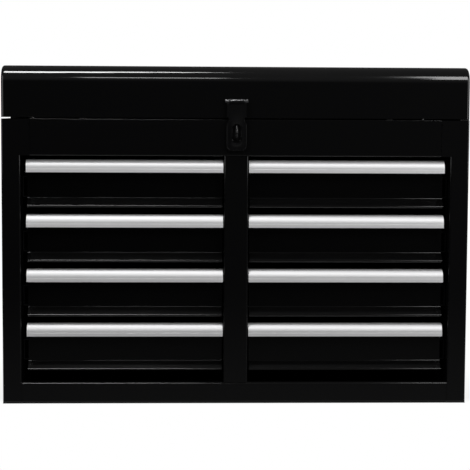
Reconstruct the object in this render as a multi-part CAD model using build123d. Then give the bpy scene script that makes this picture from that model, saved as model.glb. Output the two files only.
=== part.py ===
from build123d import *
import math
import os

# A top tool chest in folded sheet steel: eight drawers in two columns under a compartment with a hinged lid.
# Millimetres. While it is modelled, X runs to the right, Z up, and y = 0 is the plane of the front posts, with
# the cabinet behind it. Each piece is moved at the end so that the origin lies under the middle of the whole.

# The case
WIDTH = 610.0
CASE_DEPTH = 305.0
CASE_TOP = 373.0
SHEET = 1.0
FOLD = 2.0
SEAM = 0.3
EDGE_FLANGE = 12.0
BASE_FLANGE = 20.0
POST_WIDTH = 24.5
POST_LIP = 12.0
HEAD_FLANGE = 36.5
TOP_RAIL_HEIGHT = 47.5
TOP_RAIL_LEDGE = 14.0
TILL_SIDE_EDGE = 4.0
BOTTOM_RAIL_TOP = 27.3
BOTTOM_RAIL_LEDGE = 12.0
BOTTOM_RAIL_LIP = 8.0
BOTTOM_RAIL_FOOT = 24.0
CENTRE_POST_WIDTH = 31.6
CENTRE_POST_LIP = 14.0
PARTITION_FOOT = 8.0
RELIEF_RADIUS = 1.3
RELIEF_DROP = 6.0

# The drawers
COLUMNS = 2
ROWS = 4
TOP_GAP = 5.5
ROW_GAP = 9.77
BOTTOM_GAP = 15.4
PULL_INNER_GAP = 1.0
PULL_OUTER_GAP = 7.0
FRONT_SET_IN = 1.0
CREASE_RISE = 13.7
NOSE_RISE = 3.3
FRONT_RECESS = 14.0
NOSE_REACH = 8.0
SKIRT_BULGE = 1.3
HEM_SET_BACK = 2.5
CREASE_FOLD = 1.5
SKIRT_FOLD = 3.0
NOSE_FOLD = 1.3
HEM_FOLD = 1.1
CHEEK_DEPTH = 5.0
TRAY_SHEET = 0.8
TRAY_SET_IN = 6.0
TRAY_WALL_DROP = 13.0
TRAY_RIM = 5.0
TRAY_CORNER = 1.3
TRAY_REAR_GAP = 29.0

# The pulls
PULL_HEIGHT = 16.5
PULL_WALL = 1.5
PULL_FRONT = 1.0
PULL_CROWN = 10.0
PULL_INNER_CROWN = 5.0
PULL_REAR_CROWN = 1.2
PULL_STEP_DROP = 11.6
PULL_STEP = 0.4
PULL_LIP_DEPTH = 4.5
PULL_LIP_RISE = 3.0
CLIP_DEPTH = 7.0
CLIP_CLEARANCE = 0.1

# The slides
SLIDE_THICKNESS = 12.7
SLIDE_HEIGHT = 27.0
SLIDE_START = 20.0
SLIDE_REAR_GAP = 35.0
SLIDE_OVERLAP = 60.0
SLIDE_SHEET = 1.0
FIXED_FLANGE = 10.2
FIXED_LIP = 2.3
MOVING_FLANGE = 7.2
BALL_GAP = 4.0
BALL_RUN = 5.5
CAGE_WEB = 0.8
CAGE_SPARE = 10.0
RUN_CLEARANCE = 0.3
UPRIGHT_WIDTH = 22.0
UPRIGHT_FOOT = 8.0
UPRIGHT_FRONT = 34.0
UPRIGHT_REAR_GAP = 75.0

# The lid
LID_GAP = 2.0
LID_HEIGHT = 67.0
LID_CROWN = 21.0
LID_REAR_CROWN = 6.0
LID_END_ROUND = 4.0
LID_INNER_CUT = 1.75
LID_RIM = 12.0
LID_SIDE_RIM = 6.0
BUMPER_SIZE = 8.0
BUMPER_SPACING = 400.0

# The long hinge
HINGE_INSET = 12.0
HINGE_KNUCKLES = 5
HINGE_RADIUS = 3.0
HINGE_PIN_RADIUS = 1.5
HINGE_LEAF = 22.0
HINGE_SHEET = 1.0
PIN_CLEARANCE = 0.06
KNUCKLE_GAP = 0.4
LID_OPEN_ANGLE = 97.0

# The lid stays
STAY_PIVOT_BACK = 59.0
STAY_PIVOT_UP = 10.0
STAY_LENGTH = 150.0
STAY_STUD_DROP = 32.0
STAY_TURN_SHARE = 0.18
STAY_PLATE = 1.5
STAY_WIDTH = 14.0
STUD_RADIUS = 3.0
STUD_HEAD_RADIUS = 5.0
STUD_HEAD = 1.2
STUD_CLEARANCE = 0.3
STAY_INSET = 13.9
GUIDE_MARGIN = 9.0
GUIDE_LIFT = 2.0
SLOT_POINTS = 9

# The hasp
HASP_RISE = 22.0
HASP_WIDTH = 25.4
HASP_BAR_WIDTH = 30.0
HASP_KNUCKLE = 19.4
HASP_DROP = 64.0
HASP_SHEET = 1.2
HASP_RADIUS = 2.6
HASP_PIN_RADIUS = 1.2
HASP_WAIST = 19.4
HASP_WAIST_DROP = 24.0
HASP_WAIST_RUN = 6.0
HASP_CORNER = 7.0
HASP_SLOT_WIDTH = 10.0
HASP_SLOT_TOP_DROP = 27.0
HASP_SLOT_LENGTH = 27.0
STAPLE_WIRE = 1.6
STAPLE_BEND = 8.0
STAPLE_LEG = 5.5
STAPLE_PLATE_HEIGHT = 28.0
STAPLE_SIDES = 6

# Places that follow from the sizes above
HALF = WIDTH / 2
INNER_HALF = HALF - SHEET
OPENING_OUTER = HALF - POST_WIDTH
OPENING_INNER = CENTRE_POST_WIDTH / 2
HEAD_EDGE = HALF - HEAD_FLANGE
OPENING_TOP = CASE_TOP - TOP_RAIL_HEIGHT
PAN_TOP = 2 * SHEET
TILL_BASE = OPENING_TOP + SHEET
TILL_TOP = TILL_BASE + SHEET
BACK_INSIDE = CASE_DEPTH - SHEET
FLOOR_BACK = BACK_INSIDE - SHEET - SEAM
PULL_LENGTH = OPENING_OUTER - OPENING_INNER - PULL_INNER_GAP - PULL_OUTER_GAP
COLUMN_X = OPENING_INNER + PULL_INNER_GAP + PULL_LENGTH / 2
PITCH = (OPENING_TOP - BOTTOM_RAIL_TOP - TOP_GAP - BOTTOM_GAP + ROW_GAP) / ROWS
FIRST_PULL_TOP = OPENING_TOP - TOP_GAP
FRONT_HEIGHT = PITCH - ROW_GAP
FRONT_LENGTH = PULL_LENGTH - 2 * FRONT_SET_IN
TRAY_WIDTH = FRONT_LENGTH - 2 * TRAY_SET_IN
TRAY_WALL = FRONT_HEIGHT - TRAY_WALL_DROP
TRAY_BACK = CASE_DEPTH - TRAY_REAR_GAP
SLIDE_END = CASE_DEPTH - SLIDE_REAR_GAP
DRAWER_TRAVEL = SLIDE_END - SLIDE_START - SLIDE_OVERLAP
CAGE_LENGTH = SLIDE_END - SLIDE_START - DRAWER_TRAVEL / 2 - CAGE_SPARE
CAGE_START = SLIDE_END - CAGE_LENGTH - RUN_CLEARANCE
LID_BOTTOM = CASE_TOP + LID_GAP
LID_TOP = LID_BOTTOM + LID_HEIGHT
HINGE_Y = CASE_DEPTH + HINGE_RADIUS
HINGE_Z = CASE_TOP + LID_GAP / 2
HINGE_LENGTH = WIDTH - 2 * HINGE_INSET
HASP_HINGE_HEIGHT = LID_BOTTOM + HASP_RISE
HASP_Y = -HASP_RADIUS
STAPLE_Z = HASP_HINGE_HEIGHT - HASP_SLOT_TOP_DROP - HASP_SLOT_LENGTH / 2
STAPLE_REACH = STAPLE_LEG + STAPLE_BEND + STAPLE_WIRE
MIDDLE_Y = (HINGE_Y + HINGE_RADIUS - STAPLE_REACH) / 2
GUIDE_X = INNER_HALF - STAY_INSET


def outline(points, radii=0.0):
    """Makes a flat face from corner points, each corner rounded by its own radius."""
    return make_face(FilletPolyline(*points, radius=radii, close=True))


def directions(path):
    """Lists the unit vector of each run of a path."""
    runs = []
    for (x0, y0), (x1, y1) in zip(path, path[1:]):
        length = math.hypot(x1 - x0, y1 - y0)
        runs.append(((x1 - x0) / length, (y1 - y0) / length))
    return runs


def other_face(path, thickness):
    """Lists the corners of a folded sheet's other face, which lies to the left of its path."""
    runs = directions(path)
    corners = [(path[0][0] - thickness * runs[0][1], path[0][1] + thickness * runs[0][0])]
    for (x, y), (ax, ay), (bx, by) in zip(path[1:], runs, runs[1:]):
        share = thickness / (1 + ax * bx + ay * by)
        corners.append((x - share * (ay + by), y + share * (ax + bx)))
    corners.append((path[-1][0] - thickness * runs[-1][1], path[-1][1] + thickness * runs[-1][0]))
    return corners


def strip(path, thickness, fold=0.0):
    """Makes the cross-section of a folded sheet that lies to the left of its path.

    fold is the radius on the outer side of every fold. The inner side is left sharp.
    """
    near_radii, far_radii = [0.0], [0.0]
    runs = directions(path)
    for (ax, ay), (bx, by) in zip(runs, runs[1:]):
        left_turn = ax * by - ay * bx > 0
        near_radii.append(fold if left_turn else 0.0)
        far_radii.append(0.0 if left_turn else fold)
    far = other_face(path, thickness)
    return outline(list(path) + far[::-1], near_radii + [0.0] + (far_radii + [0.0])[::-1])


def along_x(face, start, end):
    """Extrudes a face drawn in y and z from one x to another."""
    return extrude(Plane.YZ.offset(start) * face, amount=end - start)


def along_y(face, start, end):
    """Extrudes a face drawn in x and z from one y to another."""
    plane = Plane((0, start, 0), x_dir=(1, 0, 0), z_dir=(0, -1, 0))
    return extrude(plane * face, amount=start - end)


def along_z(face, start, end):
    """Extrudes a face drawn in x and y from one z to another."""
    return extrude(Plane.XY.offset(start) * face, amount=end - start)


def block(x0, x1, y0, y1, z0, z1):
    """Makes a rectangular piece of sheet between two opposite corners."""
    return Pos((x0 + x1) / 2, (y0 + y1) / 2, (z0 + z1) / 2) * Box(x1 - x0, y1 - y0, z1 - z0)


def rod(start, end, y, z, radius):
    """Makes a round pin along X."""
    return extrude(Plane.YZ.offset(start) * Pos(y, z) * Circle(radius), amount=end - start)


def twin(piece):
    """Makes the same piece on the other side of the middle plane."""
    return mirror(piece, about=Plane.YZ)


def write(name, *pieces):
    """Moves a sub-part to the shared origin and writes its file."""
    placed = [Pos(0, -MIDDLE_Y, 0) * piece for piece in pieces]
    whole = placed[0] if len(placed) == 1 else Compound(children=[piece.solid() for piece in placed])
    whole.label = name
    export_step(whole, f"parts/{name}.step")


# The case

def left_side_panel():
    """Folds the side: rear flange, side wall, front post and its return lip, with top and base flanges."""
    inner_edge = -OPENING_OUTER
    rear = BACK_INSIDE
    wall = [(-HALF + EDGE_FLANGE, rear), (-HALF, rear), (-HALF, 0)]
    body = along_z(strip(wall + [(inner_edge, 0)], SHEET, FOLD), 0, BOTTOM_RAIL_TOP)
    lipped = strip(wall + [(inner_edge, 0), (inner_edge, POST_LIP)], SHEET, FOLD)
    body += along_z(lipped, BOTTOM_RAIL_TOP, OPENING_TOP)
    body += along_z(strip(wall + [(-HEAD_EDGE, 0)], SHEET, FOLD), OPENING_TOP, CASE_TOP)
    body += block(-HALF + SHEET / 2, -HALF + EDGE_FLANGE, FOLD, rear - FOLD, CASE_TOP - SHEET, CASE_TOP)
    body += block(-HALF + SHEET / 2, -HALF + BASE_FLANGE, FOLD, rear - FOLD, 0, SHEET)
    return body - seam_relief()


def seam_relief():
    """The small hole at the top of the seam between the side's head flange and the top rail."""
    spot = Pos(-HEAD_EDGE, CASE_TOP - RELIEF_DROP) * RegularPolygon(RELIEF_RADIUS, 6)
    return along_y(spot, -SHEET, 2 * SHEET)


def back_panel():
    """A sheet behind the side flanges, with its top edge folded forward between them."""
    half = HALF - SHEET / 2
    sheet = block(-half, half, BACK_INSIDE, CASE_DEPTH, SHEET, CASE_TOP)
    fold_half = HALF - EDGE_FLANGE - SEAM
    rim = block(-fold_half, fold_half, BACK_INSIDE - EDGE_FLANGE, BACK_INSIDE, CASE_TOP - SHEET, CASE_TOP)
    return sheet + rim


def bottom_pan():
    """The floor, lying on the base flanges, with the bottom rail folded up between the posts."""
    rail_half = OPENING_OUTER - SEAM
    rail_path = [
        (BOTTOM_RAIL_LEDGE, BOTTOM_RAIL_TOP - BOTTOM_RAIL_LIP),
        (BOTTOM_RAIL_LEDGE, BOTTOM_RAIL_TOP),
        (0, BOTTOM_RAIL_TOP),
        (0, SHEET),
        (BOTTOM_RAIL_FOOT, SHEET),
    ]
    rail = along_x(strip(rail_path, SHEET, FOLD), -rail_half, rail_half)
    floor_half = INNER_HALF - SEAM
    floor_path = [(SHEET + SEAM, SHEET), (FLOOR_BACK, SHEET), (FLOOR_BACK, SHEET + EDGE_FLANGE)]
    floor = along_x(strip(floor_path, SHEET), -floor_half, floor_half)
    return rail + floor


def top_front_rail():
    """The channel above the drawers, whose lower ledge carries the till floor."""
    path = [
        (EDGE_FLANGE, CASE_TOP),
        (0, CASE_TOP),
        (0, OPENING_TOP),
        (TOP_RAIL_LEDGE, OPENING_TOP),
    ]
    half = HEAD_EDGE - SEAM
    relief = seam_relief()
    return along_x(strip(path, SHEET, FOLD), -half, half) - relief - twin(relief)


def till_floor():
    """The floor under the lid, resting on the top rail's ledge, with its rear and side edges turned up."""
    half = INNER_HALF - SEAM
    front = FOLD + SEAM
    path = [(front, TILL_BASE), (FLOOR_BACK, TILL_BASE), (FLOOR_BACK, TILL_BASE + EDGE_FLANGE)]
    floor = along_x(strip(path, SHEET), -half, half)
    edge_top = TILL_BASE + TILL_SIDE_EDGE
    edge = block(-half, -half + SHEET, front + EDGE_FLANGE, FLOOR_BACK - EDGE_FLANGE, TILL_TOP, edge_top)
    return floor + edge + twin(edge)


def centre_partition():
    """The upright sheet between the columns: foot and head folded to one side, and a tongue inside the post."""
    path = [
        (PARTITION_FOOT, TILL_BASE),
        (-SHEET / 2, TILL_BASE),
        (-SHEET / 2, PAN_TOP),
        (PARTITION_FOOT, PAN_TOP),
    ]
    sheet = along_y(strip(path, SHEET), TOP_RAIL_LEDGE, FLOOR_BACK - FOLD)
    return sheet + block(-SHEET / 2, SHEET / 2, SHEET, TOP_RAIL_LEDGE, BOTTOM_RAIL_TOP, OPENING_TOP)


def centre_post():
    """The channel that closes the front of the partition, flush with the rails."""
    half = CENTRE_POST_WIDTH / 2
    path = [(-half, CENTRE_POST_LIP), (-half, 0), (half, 0), (half, CENTRE_POST_LIP)]
    return along_z(strip(path, SHEET, FOLD), BOTTOM_RAIL_TOP, OPENING_TOP)


def upright(wall_x, mount_x, middle_y, low, high):
    """A folded upright that stands on a wall and brings the slides out to their plane."""
    near, far = middle_y - UPRIGHT_WIDTH / 2, middle_y + UPRIGHT_WIDTH / 2
    foot_x = wall_x + SHEET
    path = [
        (foot_x, near - UPRIGHT_FOOT),
        (foot_x, near),
        (mount_x, near),
        (mount_x, far),
        (foot_x, far),
        (foot_x, far + UPRIGHT_FOOT),
    ]
    return along_z(strip(path, SHEET), low, high)


def slide_uprights():
    """Two uprights on each side panel and two on each face of the partition."""
    outer_mount = COLUMN_X + TRAY_WIDTH / 2 + SLIDE_THICKNESS
    inner_mount = COLUMN_X - TRAY_WIDTH / 2 - SLIDE_THICKNESS
    pieces = []
    for middle_y in (UPRIGHT_FRONT, CASE_DEPTH - UPRIGHT_REAR_GAP):
        on_side = upright(-INNER_HALF, -outer_mount, middle_y, PAN_TOP, TILL_BASE)
        on_partition = upright(SHEET / 2, inner_mount, middle_y, PAN_TOP + SHEET, TILL_BASE - SHEET)
        pieces += [on_side, twin(on_side), on_partition, twin(on_partition)]
    return pieces


# The slides: s runs from the mounting face towards the tray, and z from the slide's middle

def fixed_member():
    """The cabinet member's section, a channel with lips that keep the balls in."""
    top = SLIDE_HEIGHT / 2
    path = [
        (FIXED_FLANGE, top - FIXED_LIP),
        (FIXED_FLANGE, top),
        (0, top),
        (0, -top),
        (FIXED_FLANGE, -top),
        (FIXED_FLANGE, -top + FIXED_LIP),
    ]
    return strip(path, SLIDE_SHEET)


def moving_member():
    """The drawer member's section, a narrower channel that faces the other way."""
    top = SLIDE_HEIGHT / 2 - SLIDE_SHEET - BALL_GAP
    start = SLIDE_THICKNESS - MOVING_FLANGE
    path = [(start, -top), (SLIDE_THICKNESS, -top), (SLIDE_THICKNESS, top), (start, top)]
    return strip(path, SLIDE_SHEET)


def ball_cage():
    """The cage's section: a web that joins the two ball runs above and below the drawer member."""
    top = SLIDE_HEIGHT / 2 - SLIDE_SHEET - RUN_CLEARANCE
    under = top - BALL_GAP + 2 * RUN_CLEARANCE
    end = FIXED_FLANGE - SLIDE_SHEET - RUN_CLEARANCE
    start = end - BALL_RUN - CAGE_WEB
    inside = start + CAGE_WEB
    points = [(end, top), (start, top), (start, -top), (end, -top)]
    points += [(end, -under), (inside, -under), (inside, under), (end, under)]
    return outline(points)


def place_section(face, mount_x, toward, z):
    """Puts a slide section at its mounting face, facing the tray."""
    turned = face if toward > 0 else mirror(face, about=Plane.YZ)
    return Pos(mount_x, z) * turned


def slide_pair(section, column, z, start, end):
    """Makes the same slide member on both sides of one drawer."""
    pieces = []
    middle = COLUMN_X * column
    for side in (-1, 1):
        mount_x = middle + side * (TRAY_WIDTH / 2 + SLIDE_THICKNESS)
        pieces.append(along_y(place_section(section, mount_x, -side, z), start, end))
    return pieces


def drawer_places():
    """Lists each drawer's number, its column as -1 or 1, and the height of its pull's top edge."""
    places = []
    for column_index in range(COLUMNS):
        for row in range(ROWS):
            number = column_index * ROWS + row + 1
            places.append((number, 2 * column_index - 1, FIRST_PULL_TOP - PITCH * row))
    return places


# The drawers

def front_path(top):
    """Corners of the drawer front's outer face: flat, crease, flared skirt, nose, hem and floor."""
    face = FRONT_RECESS
    base = top - FRONT_HEIGHT
    crease_z = base + CREASE_RISE
    nose = (face - NOSE_REACH, base + NOSE_RISE)
    middle = ((face + nose[0]) / 2 + SKIRT_BULGE, (crease_z + nose[1]) / 2 - SKIRT_BULGE / 2)
    hem = (nose[0] + HEM_SET_BACK, base)
    return [(face, top - 2 * PULL_WALL), (face, crease_z), middle, nose, hem, (face + CHEEK_DEPTH, base)]


def drawer_tray(column, top):
    """One folded tray: formed front with end cheeks, floor and sides in one channel, and the back."""
    x = COLUMN_X * column
    base = top - FRONT_HEIGHT
    rim = base + TRAY_WALL
    path = front_path(top)
    folds = [CREASE_FOLD, SKIRT_FOLD, NOSE_FOLD, HEM_FOLD]
    inner = other_face(path, TRAY_SHEET)[::-1]
    half = FRONT_LENGTH / 2
    front = along_x(outline(path + inner, [0.0] + folds + [0.0] * (len(inner) + 1)), x - half, x + half)
    back_of_cheek = FRONT_RECESS + CHEEK_DEPTH
    cheek_top = top - PULL_HEIGHT
    cheek_points = [(FRONT_RECESS, cheek_top)] + path[1:] + [(back_of_cheek, cheek_top)]
    cheek = outline(cheek_points, [0.0] + folds + [0.0, 0.0])
    front += along_x(cheek, x - half, x - half + TRAY_SHEET)
    front += along_x(cheek, x + half - TRAY_SHEET, x + half)
    left, right, cut = x - TRAY_WIDTH / 2, x + TRAY_WIDTH / 2, TRAY_CORNER
    shell = [(left, rim), (left, base + cut), (left + cut, base)]
    shell += [(right - cut, base), (right, base + cut), (right, rim)]
    channel = strip([(left + TRAY_RIM, rim)] + shell + [(right - TRAY_RIM, rim)], TRAY_SHEET)
    tray = front + along_y(channel, FRONT_RECESS + TRAY_SHEET, TRAY_BACK)
    tray += along_y(outline(shell), TRAY_BACK - TRAY_SHEET, TRAY_BACK)
    inset = 2 * TRAY_SHEET
    return tray + block(left + inset, right - inset, TRAY_BACK - TRAY_RIM, TRAY_BACK, rim - TRAY_SHEET, rim)


def pull_section(top):
    """Section of the extruded pull: crowned front, inward lip, and the clip over the drawer front's edge."""
    front = PULL_FRONT
    bottom = top - PULL_HEIGHT
    step = top - PULL_STEP_DROP
    slot_near = FRONT_RECESS - CLIP_CLEARANCE
    slot_far = FRONT_RECESS + TRAY_SHEET + CLIP_CLEARANCE
    rear = slot_far + PULL_WALL
    under = top - PULL_WALL
    inner = front + PULL_WALL
    lip = front + PULL_LIP_DEPTH
    corners = [
        ((rear, top - CLIP_DEPTH - PULL_WALL), 0.0),
        ((rear, top - PULL_REAR_CROWN), 0.0),
        ((rear - PULL_REAR_CROWN, top), 0.0),
        ((front + PULL_STEP, top), PULL_CROWN),
        ((front + PULL_STEP, step), 0.0),
        ((front, step - PULL_STEP), 0.0),
        ((front, bottom), PULL_WALL),
        ((lip, bottom), 0.0),
        ((lip, bottom + PULL_LIP_RISE), 0.0),
        ((lip - PULL_WALL, bottom + PULL_LIP_RISE), 0.0),
        ((lip - PULL_WALL, bottom + PULL_WALL), 0.0),
        ((inner, bottom + PULL_WALL), 0.0),
        ((inner, under - PULL_INNER_CROWN), 0.0),
        ((inner + PULL_INNER_CROWN, under), 0.0),
        ((slot_near - PULL_WALL, under), 0.0),
        ((slot_near - PULL_WALL, top - CLIP_DEPTH), 0.0),
        ((slot_near, top - CLIP_DEPTH), 0.0),
        ((slot_near, under), 0.0),
        ((slot_far, under), 0.0),
        ((slot_far, top - CLIP_DEPTH - PULL_WALL), 0.0),
    ]
    return outline([point for point, radius in corners], [radius for point, radius in corners])


def drawer_pull(column, top):
    """The pull, a little longer than the drawer front at both ends."""
    x = COLUMN_X * column
    return along_x(pull_section(top), x - PULL_LENGTH / 2, x + PULL_LENGTH / 2)


# The lid and its hinge

def lid_block(inset):
    """The lid's form, set in on every side but the lower one, and the edges round its two ends."""
    front, rear, top, half = inset, CASE_DEPTH - inset, LID_TOP - inset, HALF - inset
    points = [(front, LID_BOTTOM), (front, top), (rear, top), (rear, LID_BOTTOM)]
    radii = [0.0, LID_CROWN - inset, LID_REAR_CROWN - inset, 0.0]
    form = along_x(outline(points, radii), -half, half)
    ends = form.faces().filter_by(Axis.X).edges()
    return form, ends.filter_by(lambda edge: edge.center().Z > LID_BOTTOM + LID_END_ROUND)


def lid_shell():
    """The pressed lid, open below, with its lower rim folded in."""
    outer = fillet(lid_block(0.0)[1], LID_END_ROUND)
    inner = chamfer(lid_block(SHEET)[1], LID_INNER_CUT)
    rim = inner & block(-HALF, HALF, 0, CASE_DEPTH, LID_BOTTOM, LID_BOTTOM + SHEET)
    mouth = block(
        -HALF + LID_SIDE_RIM, HALF - LID_SIDE_RIM, LID_RIM, CASE_DEPTH - LID_RIM, LID_BOTTOM, LID_BOTTOM + SHEET
    )
    return outer - inner + (rim - mouth)


def hinge_leaf(up, knuckles):
    """Half of the long hinge. up is 1 for the lid's leaf and -1 for the body's, and knuckles lists its places."""
    step = HINGE_LENGTH / HINGE_KNUCKLES
    half = HINGE_LENGTH / 2
    near_z = HINGE_Z + up * (HINGE_RADIUS + KNUCKLE_GAP)
    far_z = HINGE_Z + up * HINGE_LEAF
    low, high = min(near_z, far_z), max(near_z, far_z)
    leaf = block(-half, half, CASE_DEPTH, CASE_DEPTH + HINGE_SHEET, low, high)
    for index in knuckles:
        start = -half + index * step + KNUCKLE_GAP / 2
        end = start + step - KNUCKLE_GAP
        leaf += rod(start, end, HINGE_Y, HINGE_Z, HINGE_RADIUS)
        root_low, root_high = min(near_z, HINGE_Z), max(near_z, HINGE_Z)
        leaf += block(start, end, CASE_DEPTH, CASE_DEPTH + HINGE_SHEET, root_low, root_high)
    return leaf - rod(-half, half, HINGE_Y, HINGE_Z, HINGE_PIN_RADIUS + PIN_CLEARANCE)


def hinge_pin():
    """The pin that runs the hinge's whole length."""
    return rod(-HINGE_LENGTH / 2, HINGE_LENGTH / 2, HINGE_Y, HINGE_Z, HINGE_PIN_RADIUS)


def lid_bumpers():
    """Rubber pads on the front rail that keep the lid off the paint."""
    left, front, high = -(BUMPER_SPACING + BUMPER_SIZE) / 2, FOLD, LID_BOTTOM - RUN_CLEARANCE
    pad = block(left, left + BUMPER_SIZE, front, front + BUMPER_SIZE, CASE_TOP, high)
    return [pad, twin(pad)]


# The lid stays

def stay_start():
    """Angle of a closed stay from its pivot to its stud, in the plane of y and z."""
    pivot_z = HINGE_Z + STAY_PIVOT_UP
    drop = pivot_z - (CASE_TOP - STAY_STUD_DROP)
    return math.pi + math.asin(drop / STAY_LENGTH)


def stay_pivot(opened):
    """The stay's pivot on the lid, as y and z, when the lid has turned by an angle in degrees."""
    radius = math.hypot(STAY_PIVOT_BACK, STAY_PIVOT_UP)
    angle = math.atan2(STAY_PIVOT_UP, -STAY_PIVOT_BACK) - math.radians(opened)
    return HINGE_Y + radius * math.cos(angle), HINGE_Z + radius * math.sin(angle)


def stay_stud(opened):
    """The stay's lower stud when the lid has turned: the bar turns by a fixed share of the lid's angle."""
    y, z = stay_pivot(opened)
    angle = stay_start() + math.radians(opened) * STAY_TURN_SHARE
    return y + STAY_LENGTH * math.cos(angle), z + STAY_LENGTH * math.sin(angle)


def stud_slot():
    """The curved slot: the stud's path, widened on both sides by its radius and clearance."""
    reach = STUD_RADIUS + STUD_CLEARANCE
    sides = {1: [], -1: []}
    step = 0.01
    for index in range(SLOT_POINTS):
        opened = LID_OPEN_ANGLE * index / (SLOT_POINTS - 1)
        y, z = stay_stud(opened)
        ahead_y, ahead_z = stay_stud(opened + step)
        behind_y, behind_z = stay_stud(opened - step)
        run = math.hypot(ahead_y - behind_y, ahead_z - behind_z)
        along = ((ahead_y - behind_y) / run, (ahead_z - behind_z) / run)
        for side in sides:
            sides[side].append((y - side * reach * along[1], z + side * reach * along[0]))
        if index == 0:
            first = (y - reach * along[0], z - reach * along[1])
    last = (y + reach * along[0], z + reach * along[1])
    upper, lower = sides[1], sides[-1]
    edges = [
        Spline(*upper),
        ThreePointArc(upper[-1], last, lower[-1]),
        Spline(*lower[::-1]),
        ThreePointArc(lower[0], first, upper[0]),
    ]
    return make_face(edges)


def stay_guide():
    """The slotted plate on the left wall of the till, held off the wall by a tab folded at each end."""
    places = [stay_stud(LID_OPEN_ANGLE * index / (SLOT_POINTS - 1)) for index in range(SLOT_POINTS)]
    low_y = min(place[0] for place in places) - GUIDE_MARGIN
    high_y = max(place[0] for place in places) + GUIDE_MARGIN
    low_z = TILL_BASE + TILL_SIDE_EDGE + GUIDE_LIFT
    high_z = max(place[1] for place in places) + GUIDE_MARGIN
    inside = -GUIDE_X
    wall = -INNER_HALF
    path = [(wall, low_y), (inside, low_y), (inside, high_y), (wall, high_y)]
    channel = along_z(strip(path, STAY_PLATE), low_z, high_z)
    return channel - along_x(stud_slot(), -GUIDE_X - 2 * STAY_PLATE, -GUIDE_X + STAY_PLATE)


def stay_pivot_bracket():
    """The bracket on the lid's left wall, with the headed stud that the stay turns on."""
    y, z = stay_pivot(0.0)
    inside = -GUIDE_X
    half = STAY_WIDTH / 2
    wall = -INNER_HALF
    path = [(wall, y - half), (inside, y - half), (inside, y + half), (wall, y + half)]
    bracket = along_z(strip(path, STAY_PLATE), LID_BOTTOM + SHEET + STUD_CLEARANCE, z + half)
    bar_end = inside + STUD_CLEARANCE + STAY_PLATE + STUD_CLEARANCE
    stud = rod(inside - STAY_PLATE / 2, bar_end + STUD_HEAD / 2, y, z, STUD_RADIUS)
    head = rod(bar_end, bar_end + STUD_HEAD, y, z, STUD_HEAD_RADIUS)
    return bracket + stud + head


def lid_stay():
    """The left stay: a flat bar with a bore at its pivot and a headed stud at its lower end."""
    top_y, top_z = stay_pivot(0.0)
    stud_y, stud_z = stay_stud(0.0)
    near = -GUIDE_X + STUD_CLEARANCE
    far = near + STAY_PLATE
    middle = ((top_y + stud_y) / 2, (top_z + stud_z) / 2)
    slope = math.degrees(math.atan2(top_z - stud_z, top_y - stud_y))
    blank = Pos(*middle) * Rot(0, 0, slope) * SlotCenterToCenter(STAY_LENGTH, STAY_WIDTH)
    blank -= Pos(top_y, top_z) * Circle(STUD_RADIUS + PIN_CLEARANCE)
    bar = along_x(blank, near, far)
    head_end = -GUIDE_X - STAY_PLATE - STUD_CLEARANCE
    stud = rod(head_end - STUD_HEAD / 2, far - STAY_PLATE / 2, stud_y, stud_z, STUD_RADIUS)
    head = rod(head_end - STUD_HEAD, head_end, stud_y, stud_z, STUD_HEAD_RADIUS)
    return bar + stud + head


# The hasp

def knuckle_bore(half):
    """The bore through the hasp's knuckles."""
    return rod(-half, half, HASP_Y, HASP_HINGE_HEIGHT, HASP_PIN_RADIUS + PIN_CLEARANCE)


def hasp_mount():
    """The fixed leaf on the lid's front, under the swinging one, with a knuckle at each end."""
    half = HASP_BAR_WIDTH / 2
    inner = HASP_KNUCKLE / 2 + STUD_CLEARANCE
    low = LID_BOTTOM + HASP_SHEET
    high = HASP_HINGE_HEIGHT - HASP_RADIUS - STUD_CLEARANCE
    plate = block(-HASP_WIDTH / 2, HASP_WIDTH / 2, -HASP_SHEET, 0, low, high)
    for side in (-1, 1):
        start, end = sorted((side * inner, side * half))
        plate += rod(start, end, HASP_Y, HASP_HINGE_HEIGHT, HASP_RADIUS)
        root_start, root_end = sorted((side * inner, side * HASP_WIDTH / 2))
        plate += block(root_start, root_end, -HASP_SHEET, 0, high, HASP_HINGE_HEIGHT)
    return plate - knuckle_bore(half)


def hasp_pin():
    """The pin of the hasp's hinge."""
    half = HASP_BAR_WIDTH / 2
    return rod(-half, half, HASP_Y, HASP_HINGE_HEIGHT, HASP_PIN_RADIUS)


def hasp_leaf():
    """The swinging leaf: rolled knuckle, straps that narrow to a waist, slot for the staple, cut corners."""
    top = HASP_HINGE_HEIGHT
    shoulder = top - HASP_RADIUS - STUD_CLEARANCE
    bottom = top - HASP_DROP
    half, neck, waist = HASP_WIDTH / 2, HASP_KNUCKLE / 2, HASP_WAIST / 2
    waist_z = top - HASP_WAIST_DROP
    right = [
        ((neck, top), 0.0),
        ((neck, shoulder), 0.0),
        ((half, shoulder), 0.0),
        ((half, waist_z + HASP_WAIST_RUN), 2 * HASP_SHEET),
        ((waist, waist_z), 2 * HASP_SHEET),
        ((half, waist_z - HASP_WAIST_RUN), 2 * HASP_SHEET),
        ((half, bottom + HASP_CORNER), 0.0),
        ((half - HASP_CORNER, bottom), 0.0),
    ]
    points = [corner for corner, radius in right] + [(-x, z) for (x, z), radius in right[::-1]]
    radii = [radius for corner, radius in right] + [radius for corner, radius in right[::-1]]
    blank = outline(points, radii)
    slot_middle = top - HASP_SLOT_TOP_DROP - HASP_SLOT_LENGTH / 2
    blank -= Pos(0, slot_middle) * Rot(0, 0, 90) * SlotOverall(HASP_SLOT_LENGTH, HASP_SLOT_WIDTH)
    front = HASP_Y - HASP_RADIUS
    strap = along_y(blank, front, front + HASP_SHEET)
    roll = rod(-neck, neck, HASP_Y, top, HASP_RADIUS)
    return strap + roll - knuckle_bore(neck)


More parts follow.
